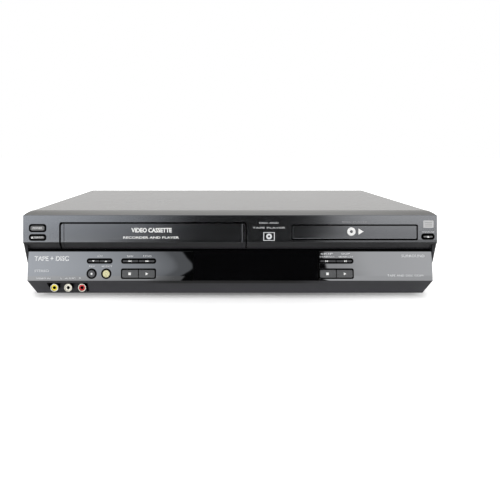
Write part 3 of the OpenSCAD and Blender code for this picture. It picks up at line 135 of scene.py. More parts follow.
class Shop:
    """Makes the nodes of one material, or of the world. made lists the finishes by their names."""

    def __init__(self, name, world=None):
        self.name = name
        self.owner = world or bpy.data.materials.new(name)
        self.owner.use_nodes = True
        self.tree = self.owner.node_tree
        self.tree.nodes.clear()
        self.output = self.tree.nodes.new("ShaderNodeOutput" + ("World" if world else "Material"))

    def node(self, kind, inputs=None, settings=None, out=0):
        """Any node: its type, what its sockets take, its settings, such as a ramp's stops, which
        are set first, and which output is wanted."""
        n = self.tree.nodes.new(kind)
        for key, val in (settings or {}).items():
            if key == "stops":
                while len(n.color_ramp.elements) < len(val):
                    n.color_ramp.elements.new(0.5)
                for element, (place, colour) in zip(n.color_ramp.elements, val):
                    element.position = place
                    element.color = (*colour, 1)
            else:
                setattr(n, key, val)
        for key, val in (inputs or {}).items():
            self.link(n.inputs[key], val)
        return Term(self, n.outputs[out])

    def link(self, socket, val):
        if isinstance(val, Term):
            self.tree.links.new(val.socket, socket)
        elif isinstance(val, tuple) and len(val) == 3 and socket.type == "RGBA":
            socket.default_value = (*val, 1)
        else:
            socket.default_value = val

    def math(self, operation, *inputs, clamp=False):
        return self.node("ShaderNodeMath", dict(enumerate(inputs)),
                         {"operation": operation, "use_clamp": clamp})

    def place(self, out=OBJECT_OUT):
        """The point in the player's own frame in metres, whole and as three terms."""
        point = self.node("ShaderNodeTexCoord", out=out)
        split = self.tree.nodes.new("ShaderNodeSeparateXYZ")
        self.link(split.inputs[0], point)
        return (point, *(Term(self, socket) for socket in split.outputs))

    def rays(self, *kinds):
        """1 for each of the kinds of ray, as terms."""
        path = self.tree.nodes.new("ShaderNodeLightPath")
        return [Term(self, path.outputs[f"Is {kind} Ray"]) for kind in kinds]

    def noise(self, point, scale, detail=2.0, rough=0.5):
        return self.node("ShaderNodeTexNoise",
                         {"Vector": point, "Scale": scale, "Detail": detail, "Roughness": rough})

    def inside(self, across, up, edges, soft=0.00012):
        """1 inside a rectangle with round corners: x0, x1, z0, z1 and radius, in millimetres."""
        x0, x1, z0, z1, radius = (v * MM for v in edges)
        over_x = (abs(across - (x0 + x1) / 2) - ((x1 - x0) / 2 - radius)).most(0.0)
        over_z = (abs(up - (z0 + z1) / 2) - ((z1 - z0) / 2 - radius)).most(0.0)
        return over_x.hypot(over_z).rise(radius + soft, radius - soft)

    def holes(self, across, up, shapes):
        """1 inside any of the rectangles."""
        return reduce(Term.most, (self.inside(across, up, shape) for shape in shapes))

    def stretch(self, point, scale):
        return self.node("ShaderNodeMapping", {"Vector": point, "Scale": scale})

    def mix(self, factor, first, second):
        """A mix of two colours. 6 and 7 are the node's colour sockets."""
        return self.node("ShaderNodeMix", {0: factor, 6: first, 7: second},
                         {"data_type": "RGBA"}, out=2)

    def ramp(self, stops, place):
        """A grey that follows the stops as place goes from 0 to 1."""
        greys = [(at, (grey, grey, grey)) for at, grey in stops]
        return self.node("ShaderNodeValToRGB", {0: place.clamp()}, {"stops": greys})

    def bump(self, height, strength, distance):
        return self.node("ShaderNodeBump",
                         {"Height": height, "Strength": strength, "Distance": distance})

    def end(self, shader):
        self.link(self.output.inputs[0], shader)

    def emission(self, colour, strength):
        return self.node("ShaderNodeEmission", {"Color": colour, "Strength": strength})

    def surface(self, base, rough, **inputs):
        """Ends the material with a Principled shader. Inputs are numbers, colours or terms."""
        sockets = {key.replace("_", " "): val for key, val in inputs.items()}
        self.end(self.node("ShaderNodeBsdfPrincipled",
                           {"Base Color": base, "Roughness": rough, **sockets}))
        made[self.name] = self.owner


def begin(name):
    """A new material, and the point on it, whole and as three terms."""
    shop = Shop(name)
    return shop, *shop.place()


def scaled(colour, factor):
    """A lighter or darker colour."""
    return tuple(min(c * factor, 1.0) for c in colour)


print("shader helpers ready")

# %% [markdown]
# ## The studio
# The floor is a plain pale sheet that ends in front of the player. For the camera it also glows
# a little so that it looks white, and it glows less beside the player, which paints a shadow there
# on top of the real one. Its front edge is what the lowest strip of the player mirrors, bright on
# the left and dark in the middle. The white behind comes from the world, which lights the scene
# less than it shows. Soft lamps overhead and in front give the plain light, and none of them shows
# as a spot. What the glossy front mirrors is a large card in front: bright at its sides and dark in
# its middle, as a studio is where the photographer stands.

# %% Floor, world and lamps
WHITE = (1.0, 1.0, 1.0)
FLOOR_X, FLOOR_FRONT, FLOOR_BACK = 4.0, -0.43, 6.0


def flat_sheet(name, corners):
    mesh = bpy.data.meshes.new(name)
    mesh.from_pydata(corners, [], [(0, 1, 2, 3)])
    sheet = new_object(name, mesh)
    return sheet


floor = flat_sheet("floor", [(-FLOOR_X, FLOOR_FRONT, 0), (FLOOR_X, FLOOR_FRONT, 0),
                             (FLOOR_X, FLOOR_BACK, 0), (-FLOOR_X, FLOOR_BACK, 0)])
shop = Shop("floor_paper")
camera_ray, glossy_ray = shop.rays("Camera", "Glossy")
point, x, y, z = shop.place()
# Painted shadow: the glow for the camera is lowered beside the player.
painted_floor_shadow = abs(x - 0.005).rise(0.21, 0.05) * y.rise(-0.20, -0.15)
lifted = y.rise(0.15, 0.9).most(abs(x).rise(0.35, 0.9)) * 0.6 + 0.34 - painted_floor_shadow * 0.17
paper = shop.node("ShaderNodeBsdfDiffuse", {"Color": (0.9, 0.9, 0.9)})
lift = shop.emission(WHITE, camera_ray * lifted)
lit = shop.node("ShaderNodeAddShader", {0: paper, 1: lift})
FLOOR_FADE = [(0.0, 0.95), (0.167, 0.85), (0.375, 0.72), (0.625, 0.58), (0.754, 0.53),
              (0.804, 0.33), (0.854, 0.26), (0.904, 0.19), (0.954, 0.18), (0.962, 0.15),
              (0.970, 0.004)]
mirrored = shop.ramp(FLOOR_FADE, (x + 0.30) / 0.24) + x.rise(0.144, 0.149) * 0.78
dim = shop.emission(WHITE, mirrored)
away = glossy_ray * y.rise(-0.27, -0.31)
shop.end(shop.node("ShaderNodeMixShader", {0: away, 1: lit, 2: dim}))
floor.data.materials.append(shop.owner)

WORLD_FILL = 0.42
world = bpy.data.worlds.new("studio")
scene.world = world
shop = Shop("studio", world)
camera_ray, glossy_ray, clear_ray = shop.rays("Camera", "Glossy", "Transmission")
point, x, y, z = shop.place(GENERATED_OUT)
above = 1.0 - z.rise(0.02, 0.75) * 0.84
level = WORLD_FILL + (glossy_ray + clear_ray).clamp() * (above - WORLD_FILL)
grey = shop.node("ShaderNodeCombineColor", {0: level, 1: level, 2: level})
shop.end(shop.node("ShaderNodeBackground", {"Color": shop.mix(camera_ray, grey, WHITE)}))


def lamp(name, place, target, width, depth, power):
    light = bpy.data.lights.new(name, "AREA")
    light.shape = "RECTANGLE"
    light.size = width
    light.size_y = depth
    light.energy = power
    holder = new_object(name, light)
    holder.location = place
    holder.rotation_euler = (Vector(target) - Vector(place)).to_track_quat("-Z", "Y").to_euler()
    holder.visible_glossy = False


lamp("overhead_softbox", (0, 0.1, 1.5), (0, 0, 0), 2.0, 1.6, 24)
for name, aside in (("left_front_softbox", -1.3), ("right_front_softbox", 1.3)):
    lamp(name, (aside, -1.4, 0.9), (0, 0, 0.05), 1.2, 1.2, 13)
print("floor, world and", len(bpy.data.lights), "lamps")

# %% [markdown]
# The card's bright left half fades towards the middle along a ramp and ends in an uneven border,
# which bulges a little at the height that the key panel mirrors. Its right half starts with a
# narrow step and grows slowly brighter. Both darken at the bottom, below what the panel mirrors.

# %% The card that the front mirrors
CARD_X, CARD_Y, CARD_LOW, CARD_HIGH = 2.5, -0.95, -1.0, 1.5
card = flat_sheet("card", [(-CARD_X, CARD_Y, CARD_LOW), (-CARD_X, CARD_Y, CARD_HIGH),
                           (CARD_X, CARD_Y, CARD_HIGH), (CARD_X, CARD_Y, CARD_LOW)])
for ray in ("camera", "diffuse", "transmission", "volume_scatter", "shadow"):
    setattr(card, "visible_" + ray, False)
shop, point, x, y, z = begin("studio_card")
ripple = (shop.noise(point, 24.0) - 0.5) * 0.012
bulge = z.rise(-0.053, -0.018) * z.rise(0.034, -0.014)
border = (-0.1145 + bulge * 0.034 - z.rise(-0.028, -0.060) * 0.016 - z.rise(-0.062, -0.103) * 0.12
          + ripple)
CARD_FADE = [(0.0, 1.10), (0.317, 0.96), (0.533, 0.80), (0.79, 0.50), (0.85, 0.39), (0.90, 0.32),
             (0.935, 0.19), (0.985, 0.18), (0.993, 0.0), (1.0, 0.0)]
left = shop.ramp(CARD_FADE, (x - border + 0.6) / 0.6)
across = (x + ripple * 0.4 - z.rise(0.005, -0.020) * 0.008 - z.rise(-0.024, -0.036) * 0.012
          - z.rise(-0.045, -0.075) * 0.020)
right = (across.rise(0.262, 0.270) * 0.60 + across.rise(0.285, 0.40) * 0.25
         + x.rise(0.40, 0.60) * 0.08)
right = right * (1.0 - z.rise(-0.062, -0.096) * 0.60)
ends = z.rise(0.42, 0.20) * z.rise(-0.75, -0.35)
both = (left + right) * ends * (1.0 - z.rise(-0.050, -0.108) * 0.45)
tint = shop.mix(x.rise(-0.2, 0.2), (0.95, 0.985, 1.03), WHITE)
shop.end(shop.emission(tint, both + 0.004))
card.data.materials.append(shop.owner)

# %% [markdown]
# ## Finishes
# Every finish starts from the same three things that a real surface has: a colour that is a
# little uneven, a gloss that is a little uneven, and a grain. One function gives those, and the
# finishes that do more, such as the lacquered front, are written out after it.

# %% A finish with grain and slight unevenness
GLOSS_WANDER = 0.08
# GROOVE is a black that stands in for shade in grooves and gaps.
GROOVE = (0.004, 0.004, 0.004)


def finish(name, colour, rough, metal=0.0, grain=900.0, relief=0.00002, strength=0.3,
           uneven=0.12, stretch=(1, 1, 1), within=()):
    """The colour wanders by uneven, and the grain is relief metres high. Outside the shapes given
    as within, if any, the piece is painted black, as painted shade."""
    shop, point, x, y, z = begin(name)
    along = shop.stretch(point, stretch)
    cloud = shop.noise(point, 28.0, 3.0)
    fine = shop.noise(along, grain, 3.0, 0.6)
    shade = (cloud - 0.5) * uneven * 2 + (fine - 0.5) * uneven
    colours = shop.mix((shade + 0.5).clamp(), scaled(colour, 1 - uneven),
                       scaled(colour, 1 + uneven))
    gloss = ((cloud - 0.5) * GLOSS_WANDER * 2 + (fine - 0.5) * GLOSS_WANDER + rough).clamp()
    if within:
        field = shop.holes(x, z, within)
        colours = shop.mix(field, GROOVE, colours)
        metal = 1.0 - field * (1.0 - metal)
    shop.surface(colours, gloss, Metallic=metal, Normal=shop.bump(fine, strength, relief))


finish("foot_rubber", (0.035, 0.035, 0.036), 0.75, grain=1400, relief=0.00006, strength=0.5)
finish("screw_black", (0.035, 0.034, 0.033), 0.38, metal=0.6, grain=1800, stretch=(1, 1, 0.2))
finish("black_plastic", (0.028, 0.028, 0.030), 0.48, grain=2200, relief=0.00003)
finish("tray_plastic", (0.040, 0.040, 0.043), 0.52, grain=1500, relief=0.00004, strength=0.4)
finish("gear_plastic", (0.78, 0.76, 0.68), 0.42, grain=700, uneven=0.05)
finish("pinch_rubber", (0.045, 0.044, 0.043), 0.65, grain=1600, relief=0.00005)
finish("jack_metal", (0.78, 0.77, 0.74), 0.20, metal=1.0, grain=1200, uneven=0.06)
finish("rod_steel", (0.74, 0.74, 0.75), 0.18, metal=1.0, grain=3000, stretch=(1, 1, 0.05),
       uneven=0.05)
finish("motor_steel", (0.52, 0.51, 0.49), 0.36, metal=1.0, grain=1500, stretch=(1, 1, 0.1))
finish("drum_aluminium", (0.80, 0.80, 0.81), 0.20, metal=1.0, grain=2600,
       stretch=(0.05, 0.05, 1), uneven=0.05)
print(len(made), "plain finishes")

# %% [markdown]
# ### Sheet steel
# Zinc-plated sheet shows rolling lines along its length and a patchwork of dull and bright
# spangles. Stretched noise gives the first and cells give the second. Tinned steel is the same
# sheet, brighter and with weaker spangles.

# %% Sheet steel
def sheet_steel(name, colour, rough, spangle):
    shop, point, x, y, z = begin(name)
    lines = shop.noise(shop.stretch(point, (8, 400, 400)), 3.0, 3.0)
    cells = shop.node("ShaderNodeTexVoronoi", {"Vector": point, "Scale": 130.0}, out=1)
    patch = shop.node("ShaderNodeRGBToBW", {0: cells})
    cloud = shop.noise(point, 9.0, 3.0)
    shade = (patch - 0.5) * spangle + (lines - 0.5) * 0.25 + (cloud - 0.5) * 0.4 + 0.5
    colours = shop.mix(shade.clamp(), scaled(colour, 0.82), scaled(colour, 1.12))
    gloss = (rough + (patch - 0.5) * spangle * 0.3 + (lines - 0.5) * 0.15).clamp()
    shop.surface(colours, gloss, Metallic=1.0, Normal=shop.bump(lines, 0.12, 0.00002))


sheet_steel("zinc_steel", (0.56, 0.56, 0.54), 0.40, 0.5)
sheet_steel("tinned_steel", (0.68, 0.68, 0.67), 0.30, 0.2)
print("sheet steels")

# %% [markdown]
# ### The cover's paint
# The cover is steel with a baked satin paint. Its grain is a fine stipple, well under a
# millimetre, which breaks reflections up. Looked at along the surface it mirrors the bright
# background, so the same dark grey paint reads as light grey from a low camera.

# %% The cover's paint
shop, point, x, y, z = begin("cover_paint")
stipple = shop.noise(point, 1500.0, 2.0, 0.6)
cloud = shop.noise(point, 12.0, 4.0)
# Painted highlight: the paint is made lighter on the rounded side folds.
edge = abs(x).rise(209.5 * MM, 213.0 * MM) * z.rise(86.0 * MM, 89.5 * MM)
shade = (0.5 + (cloud - 0.5) * 0.25 + (stipple - 0.5) * 0.4 + edge * 0.3).clamp()
paint = shop.mix(shade, (0.148, 0.145, 0.139), (0.202, 0.198, 0.189))
gloss = (0.26 + (cloud - 0.5) * 0.04 + (stipple - 0.5) * 0.08).clamp()
shop.surface(paint, gloss, Normal=shop.bump(stipple, 0.22, 0.00005))
print("cover paint")

# %% [markdown]
# ### The front's lacquer
# The upper face is plastic under a charcoal lacquer with aluminium flakes. The flakes make it
# behave like a soft mirror. The slanted band under the door, the strip at the bottom and the
# ends are bare dark plastic. Both belong to one moulding, so a mask by height chooses between
# them, with a narrow soft step as spray masking leaves. The bare plastic is painted in two tones:
# darker on the band, which faces down into shade, and lighter on the strip, as painted shade and
# light. The band is also painted lighter along its lower edge, a painted highlight, and the strip
# grows lighter towards its foot. Below the key panel the strip's top is painted darker in the
# middle, a painted shade. The lacquer is painted darker along its lower edge towards the right,
# under the tray, also painted shade. The brow, the rounded upper edge of the face, is duller, and
# its colour is painted lighter in the middle than towards the ends, a painted reflection. Around
# doors and keys the seams are painted black, and so is the hollow behind them, as painted shade.

# %% The front's lacquer
BAND_TOP = 59.0 * MM
HAZE = 0.2 * MM
LACQUER = (0.325, 0.333, 0.35)
BARE = (0.016, 0.016, 0.018)
DEEP_SHADE = (0.002, 0.002, 0.002)
SEAM_SHADE = (0.003, 0.003, 0.003)
FACE_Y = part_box("front_fascia")[0].y


def lacquered(name, low, inner_depth, tone=1.0, lines=(), holes=(), rim=None, recess=None):
    """Flaked lacquer above the height low, and bare plastic below it and further in than
    inner_depth metres from the face. It is dull along the upright lines, and painted black as shade
    inside the holes, or else outside the rim. A recess is painted black as shade between its edges
    and its lit middle. Shapes are x0, x1, z0, z1 and corner radius in millimetres, lines are middle
    and half width."""
    shop, point, x, y, z = begin(name)
    flakes = shop.noise(point, 5200.0, 1.0)
    cloud = shop.noise(point, 18.0, 3.0)
    inner_y = FACE_Y + inner_depth
    outside = y.rise(inner_y + HAZE, inner_y - HAZE)
    outside = outside.most(z.rise(86.0 * MM, 86.4 * MM)).most(abs(x).rise(213.8 * MM, 214.2 * MM))
    mask = z.rise(low - HAZE, low + HAZE) * outside
    lacquer = shop.mix((0.5 + (flakes - 0.5) * 1.6 + (cloud - 0.5) * 0.3).clamp(),
                       scaled(LACQUER, 0.86 * tone), scaled(LACQUER, 1.14 * tone))
    # Painted shade: the lacquer darkens along its lower edge towards the right, under the tray.
    painted_shade_under_tray = z.rise(62.6 * MM, 60.6 * MM) * x.rise(-0.15, -0.09)
    lacquer = shop.mix(painted_shade_under_tray * 0.45, lacquer, (0.02, 0.02, 0.02))
    brow = z.rise(86.8 * MM, 87.4 * MM)
    # Painted reflection: the brow's colour is lighter in the middle than towards the ends.
    painted_brow_reflection = (cloud * 0.3 + abs(x).rise(0.208, 0.12) * 0.8).clamp()
    lacquer = shop.mix(brow, lacquer, shop.mix(painted_brow_reflection, (0.118, 0.116, 0.112), (0.162, 0.160, 0.155)))
    # Painted shade and light: the band is darker than the strip, and lighter along its lower edge.
    band = shop.mix((z.rise(57 * MM, 51 * MM) * 0.6 + cloud * 0.3).clamp(),
                    scaled(BARE, 0.4), scaled(BARE, 1.5))
    strip = shop.mix((z.rise(15 * MM, 5 * MM) * 0.6 + cloud * 0.3).clamp(),
                     scaled(BARE, 1.7), scaled(BARE, 3.4))
    # Painted shade on the strip's top, in the middle below the key panel.
    shaded = z.rise(15.2 * MM, 16.6 * MM) * abs(x - 0.002).rise(0.105, 0.060)
    bare = shop.mix(z.rise(20 * MM, 18.5 * MM), band, shop.mix(shaded, strip, DEEP_SHADE))
    rough = mask * (0.16 + (flakes - 0.5) * 0.06) + (1 - mask) * (0.36 + (cloud - 0.5) * 0.1)
    rough = rough + mask * brow * 0.20
    for middle, half in lines:
        line = abs(x - middle * MM).rise(half * MM + HAZE, half * MM - HAZE)
        rough = rough + line * z.rise(81.5 * MM, 80.5 * MM) * 0.45
    base = shop.mix(mask, bare, lacquer)
    metal = mask * 0.975 * (1 - brow)
    # Painted shade: black in the seams around doors and keys, or outside a door's rim.
    seam_shade = shop.holes(x, z, holes) if holes else 1 - shop.inside(x, z, rim)
    if recess:
        edges, lit = recess
        # Painted shade in the socket recess, between its edges and its lit middle.
        recess_shade = shop.inside(x, z, edges) * (1 - shop.inside(x, z, lit, 0.0005))
        seam_shade = seam_shade.most(recess_shade * y.rise(inner_y + 6.6 * MM, inner_y + 6.9 * MM))
    shop.surface(shop.mix(seam_shade, base, SEAM_SHADE), (rough + seam_shade * 0.3).clamp(),
                 Metallic=metal.most(seam_shade), Specular_IOR_Level=0.3,
                 Normal=shop.bump(flakes, 0.02, 0.000005))


SEAMS = [
    (63.7, 195.1, 60.9, 77.3, 1.2),      # tray front
    (-177.5, 17.5, 50.0, 79.5, 3.2),     # cassette door
    (-208.9, -190.7, 60.3, 67.4, 3.0),   # eject key
    (-208.9, -190.7, 69.3, 77.9, 3.0),   # power key
    (198.4, 212.5, 61.5, 68.1, 3.0),     # open and close key
]
SOCKET_RECESS = ((-190.5, -147.5, 5.8, 16.6, 0.3), (-187.0, -150.6, 0.0, 14.4, 1.5))
lacquered("fascia_plastic", BAND_TOP, 0.3 * MM, holes=SEAMS, recess=SOCKET_RECESS)
lacquered("door_lacquer", BAND_TOP, 0.4 * MM, 0.9, lines=[(-172.7, 0.5), (12.4, 0.6)],
          rim=(-175.6, 16.4, 30.0, 78.0, 2.4))
lacquered("tray_front_lacquer", 0.0, 0.5 * MM, 0.88, rim=(65.2, 193.6, 62.7, 75.9, 0.9))
print("front lacquers, face at y =", round(FACE_Y, 4))

# %% [markdown]
# ### Silver panel and display window
# The key panel has a silver lacquer, polished almost like a mirror. The seams around its keys,
# along its top and beside the window are painted black, as painted shade in the gaps. The window
# is smoked acrylic in the same plane. Its gloss differs a little from place to place, as by wiping.

# %% Silver panel and display window
shop, point, x, y, z = begin("panel_silver")
flakes = shop.noise(point, 4200.0, 1.0)
cloud = shop.noise(point, 7.0, 4.0)
silver = shop.mix((0.5 + (flakes - 0.5) * 0.7 + (cloud - 0.5) * 0.2).clamp(),
                  (0.365, 0.372, 0.385), (0.415, 0.422, 0.435))
PANEL_TOP = 50.0 * MM
PANEL_SEAMS = [
    # beside the window
    (88.0, 93.4, 18.0, 51.0, 0.3),
    # flat keys
    *((x0, x1, 36.2, 41.8, 2.6) for x0, x1 in ((-149.3, -122.3), (-113.5, -76.9), (92.1, 128.7))),
    # stop and play keys
    (-113.5, -76.9, 20.7, 31.5, 2.0), (92.1, 128.7, 20.7, 31.5, 2.0),
    # round keys
    (-149.3, -138.5, 20.7, 31.5, 5.4), (-134.1, -123.3, 20.7, 31.5, 5.4),
]
# Painted shade: black along the panel's top, around its keys and beside the window.
seam_shade = z.rise(PANEL_TOP - 1.6 * MM, PANEL_TOP - 1.2 * MM).most(shop.holes(x, z, PANEL_SEAMS))
shop.surface(shop.mix(seam_shade, silver, GROOVE), (0.025 + (cloud - 0.5) * 0.02 + seam_shade * 0.4).clamp(),
             Metallic=1.0, Normal=shop.bump(flakes, 0.02, 0.000005))

shop, point, x, y, z = begin("window_black")
wipe = shop.noise(shop.stretch(point, (1, 1, 5)), 14.0, 3.0)
smoked = shop.mix(wipe, (0.0012, 0.0012, 0.0014), (0.0022, 0.0022, 0.0026))
shop.surface(smoked, (0.045 + (wipe - 0.5) * 0.03).clamp(), Normal=shop.bump(wipe, 0.01, 0.00001))
# Black for deep groove, bore and key-side faces as painted shade; the back's words use it as ink.
finish("groove_black", (0.006, 0.006, 0.006), 0.5, metal=1.0, grain=1500)
print("panel and window")

# %% [markdown]
# ### Keys
# The caps are moulded grey plastic with a satin lacquer, darker on the silver panel. Outside a
# narrow field each cap is painted black, as painted shade of the gap around it. The select key is
# pale yellow-green and the record key dark. Both have fine turned rings, which a ring formula
# around the key's middle gives, and both are painted darker towards the rim and black at it, as
# painted shade.

# %% Keys
KEY_FIELDS = {
    "key_silver": ((0.165, 0.165, 0.166), 0.36, 0.35, [
        (-207.0, -192.6, 71.2, 76.0, 1.8), (-206.8, -192.8, 62.6, 65.2, 1.2),
        (200.8, 210.1, 64.0, 65.6, 0.7)]),
    "key_dark": ((0.060, 0.061, 0.064), 0.30, 0.2, [
        (x0, x1, 38.1, 39.9, 0.8)
        for x0, x1 in ((-147.4, -124.2), (-111.6, -78.8), (94.0, 126.8))]),
    "key_mid": ((0.095, 0.097, 0.100), 0.30, 0.3, [
        (-112.4, -78.0, 21.8, 30.4, 1.2), (93.2, 127.6, 21.8, 30.4, 1.2)]),
}
# Painted shade: outside its fields a cap is black, standing in for the shade of its gap.
for name, (colour, rough, metal, fields) in KEY_FIELDS.items():
    finish(name, colour, rough, metal, grain=2400, relief=0.00001, within=fields)

RING_STEP = 0.55 * MM


def turned_key(name, node, colour, rough, metal):
    low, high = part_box(node)
    shop, point, x, y, z = begin(name)
    radius = (x - (low.x + high.x) / 2).hypot(z - (low.z + high.z) / 2)
    rings = (radius * (2 * math.pi / RING_STEP)).sine()
    # Painted shade: the colour darkens towards the rim and is black at it.
    rim = radius.rise(3.4 * MM, 3.7 * MM)
    inner = radius.between(1.0 * MM, 1.5 * MM, 0.0001)
    base = shop.mix((1.0 + rings * 0.2 - rim * 0.9 - inner * 0.4 - radius * 60.0).clamp(),
                    scaled(colour, 0.10), colour)
    shop.surface(base, (rough + rings * 0.05).clamp(), Metallic=metal,
                 Normal=shop.bump(rings, 0.35, 0.00004))


turned_key("key_green", "select_button", (0.76, 0.72, 0.42), 0.35, 0.1)
turned_key("key_record", "record_button", (0.110, 0.112, 0.118), 0.32, 0.3)
print("key finishes")

# %% [markdown]
# ### Socket colours
# The three plug sockets are coloured yellow, white and red, the usual code for picture, left
# sound and right sound. The block behind them is grey around the sleeves and painted black beyond,
# as the shade of its recess. On the block at the back the same code is drawn as rings around each
# jack's middle.

# %% Socket colours
SOCKET_COLOURS = {"yellow": (0.92, 0.76, 0.06), "white": (0.82, 0.80, 0.70),
                  "red": (0.56, 0.02, 0.02)}
for word, colour in SOCKET_COLOURS.items():
    finish("socket_" + word, colour, 0.30, uneven=0.06)
finish("sleeve_nickel", (0.84, 0.81, 0.70), 0.38, metal=0.25, grain=1200, uneven=0.05)
# Painted shade: outside the field around the sleeves the block is black.
finish("jack_block", (0.022, 0.022, 0.024), 0.48, grain=2200,
       within=[(-187.0, -150.4, 5.0, 14.6, 1.5)])
finish("jack_colours", SOCKET_COLOURS["yellow"], 0.30, uneven=0.06)
finish("print_light", (0.62, 0.63, 0.64), 0.45, grain=3000, uneven=0.05)
finish("print_white", (0.80, 0.80, 0.79), 0.45, grain=3000, uneven=0.04)
finish("print_grey", (0.26, 0.26, 0.27), 0.45, grain=3000, uneven=0.05)

shop, point, x, y, z = begin("plate_ink")
specks = shop.noise(point, 3000.0)
bars = shop.holes(x, z, [(202.2, 209.8, low, low + 0.7, 0.3) for low in (79.2, 77.3, 75.4)])
inked = shop.mix((bars * 0.8 + specks * 0.15).clamp(), (0.52, 0.52, 0.52), (0.24, 0.24, 0.245))
shop.surface(inked, 0.42 + specks * 0.06)

shop, point, x, y, z = begin("rear_jack_colours")
grain = shop.noise(point, 1800.0)
REAR_JACKS = {-23.8: (0.75, 0.22, 0.02), -9.4: SOCKET_COLOURS["red"],
              5.0: SOCKET_COLOURS["white"], 19.4: SOCKET_COLOURS["yellow"]}
REAR_JACK_Z, REAR_JACK_HALF_STEP = 37.0 * MM, 9.0 * MM
coloured = shop.mix(grain, (0.022, 0.022, 0.023), (0.032, 0.032, 0.034))
shiny = None
for jack_x, colour in REAR_JACKS.items():
    column = abs(x - jack_x * MM).rise(6.2 * MM, 6.0 * MM)
    height = abs(abs(z - REAR_JACK_Z) - REAR_JACK_HALF_STEP)
    radius = (x - jack_x * MM).hypot(height)
    proud = y.rise(128.2 * MM, 128.3 * MM) * column
    sleeve = proud * radius.rise(3.25 * MM, 3.35 * MM)
    ring = proud * radius.between(1.9 * MM, 3.2 * MM, 0.00005)
    coloured = shop.mix(ring, coloured, colour)
    coloured = shop.mix(sleeve, coloured, (0.74, 0.73, 0.70))
    shiny = sleeve if shiny is None else shiny.most(sleeve)
shop.surface(coloured, (0.42 - shiny * 0.2 + (grain - 0.5) * 0.08).clamp(), Metallic=shiny,
             Normal=shop.bump(grain, 0.2, 0.00002))
print("socket colours and prints")

# %% [markdown]
# ### Circuit boards
# A board is green solder mask over copper: the tracks show as slightly lighter lines on a fine
# grid, with round pads where parts are soldered. The power board is bare tan laminate with dark
# printing.

# %% Circuit boards
HOLE_STEP = 2.54 * MM


def circuit_board(name, mask_colour, track_colour, upright=False):
    shop, point, x, y, z = begin(name)
    across = z if upright else y
    u = (x / HOLE_STEP + 100.0).fraction()
    v = (across / HOLE_STEP + 100.0).fraction()
    long_x = shop.noise(shop.stretch(point, (1, 0.15, 0.15)), 60.0, 1.0)
    long_v = shop.noise(shop.stretch(point, (0.15, 1, 1)), 60.0, 1.0)
    tracks = (abs(v - 0.5).rise(0.16, 0.10) * long_x.rise(0.50, 0.54)).most(
        abs(u - 0.5).rise(0.16, 0.10) * long_v.rise(0.52, 0.56))
    spot = (u - 0.5).hypot(v - 0.5)
    pads = spot.rise(0.30, 0.24) * shop.noise(point, 90.0, 0.0).rise(0.58, 0.60)
    cloud = shop.noise(point, 25.0, 3.0)
    base = shop.mix(cloud, scaled(mask_colour, 0.85), scaled(mask_colour, 1.15))
    base = shop.mix(pads, shop.mix(tracks, base, track_colour), (0.62, 0.61, 0.58))
    shop.surface(base, (0.36 - pads * 0.12).clamp(), Metallic=pads * 0.9,
                 Normal=shop.bump(tracks + pads, 0.3, 0.00004))


GREENS = ((0.020, 0.105, 0.045), (0.035, 0.170, 0.070))
circuit_board("circuit_board", *GREENS)
circuit_board("front_circuit_board", *GREENS, upright=True)
circuit_board("power_circuit_board", (0.36, 0.235, 0.105), (0.24, 0.15, 0.065))
print("circuit boards")

# %% [markdown]
# ### Flat cable and display glass
# A flat cable is a row of wires in one strip of plastic: a sine across it gives the ridges. The
# display tube is dark glass with a phosphor plate behind it, on which the digits repeat.

# %% Flat cable and display glass
WIRE_STEP = 1.0 * MM
shop, point, x, y, z = begin("ribbon")
wires = ((x + y) * (2 * math.pi / WIRE_STEP)).sine()
cable = shop.mix((wires * 0.5 + 0.5).clamp(), (0.50, 0.50, 0.48), (0.76, 0.76, 0.73))
shop.surface(cable, (0.42 + wires * 0.04).clamp(), Normal=shop.bump(wires, 0.5, 0.0001))

shop, point, x, y, z = begin("tube_glass")
low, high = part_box("display_tube")
DIGIT_STEP = 6.0 * MM
u = ((x - low.x) / DIGIT_STEP).fraction()
segments = abs(u - 0.5).between(0.20, 0.30, 0.01) * z.between(low.z + 0.007, high.z - 0.006)
bars = abs(z - (low.z + high.z) / 2).between(-0.0005, 0.0005) * abs(u - 0.5).rise(0.32, 0.28)
plate = shop.mix(segments.most(bars), (0.016, 0.020, 0.019), (0.20, 0.26, 0.23))
shop.surface(plate, (0.07 + segments * 0.2).clamp())
print(len(made), "finishes so far")

# %% [markdown]
# ## Tools for the pieces
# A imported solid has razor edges, which real mouldings and folded sheet never have: a tenth of a
# millimetre of rounding is what catches the light. A solid's shape mustn't change, so it is
# copied, its loose triangles are welded, flat areas are joined into single faces, and then the
# sharp edges are bevelled. The copy stands for the solid and moves with the same body.

# %% Copying and softening a solid
slot_of = {s["node"]: s["material_slot"] for s in frame["record"]["subparts"]}
body_of = {n: b for b, members in frame["record"]["behaviour"]["bodies"].items() for n in members}
BODY = "case"


def to_mode(mode):
    bpy.ops.object.mode_set(mode=mode)


def deselect():
    if bpy.context.object and bpy.context.object.mode != "OBJECT":
        to_mode("OBJECT")
    bpy.ops.object.select_all(action="DESELECT")


def select_mesh():
    bpy.ops.mesh.select_all(action="SELECT")


def activate(piece, kind=None):
    """Makes the piece the chosen one. With a kind, nothing of that kind is selected in it."""
    deselect()
    piece.select_set(True)
    bpy.context.view_layer.objects.active = piece
    if kind:
        to_mode("EDIT")
        bpy.ops.mesh.select_mode(type=kind)
        bpy.ops.mesh.select_all(action="DESELECT")
        to_mode("OBJECT")


def weld(piece, distance):
    """Joins points that lie closer than distance. The piece stays in edit mode."""
    activate(piece, "EDGE")
    to_mode("EDIT")
    select_mesh()
    bpy.ops.mesh.remove_doubles(threshold=distance)


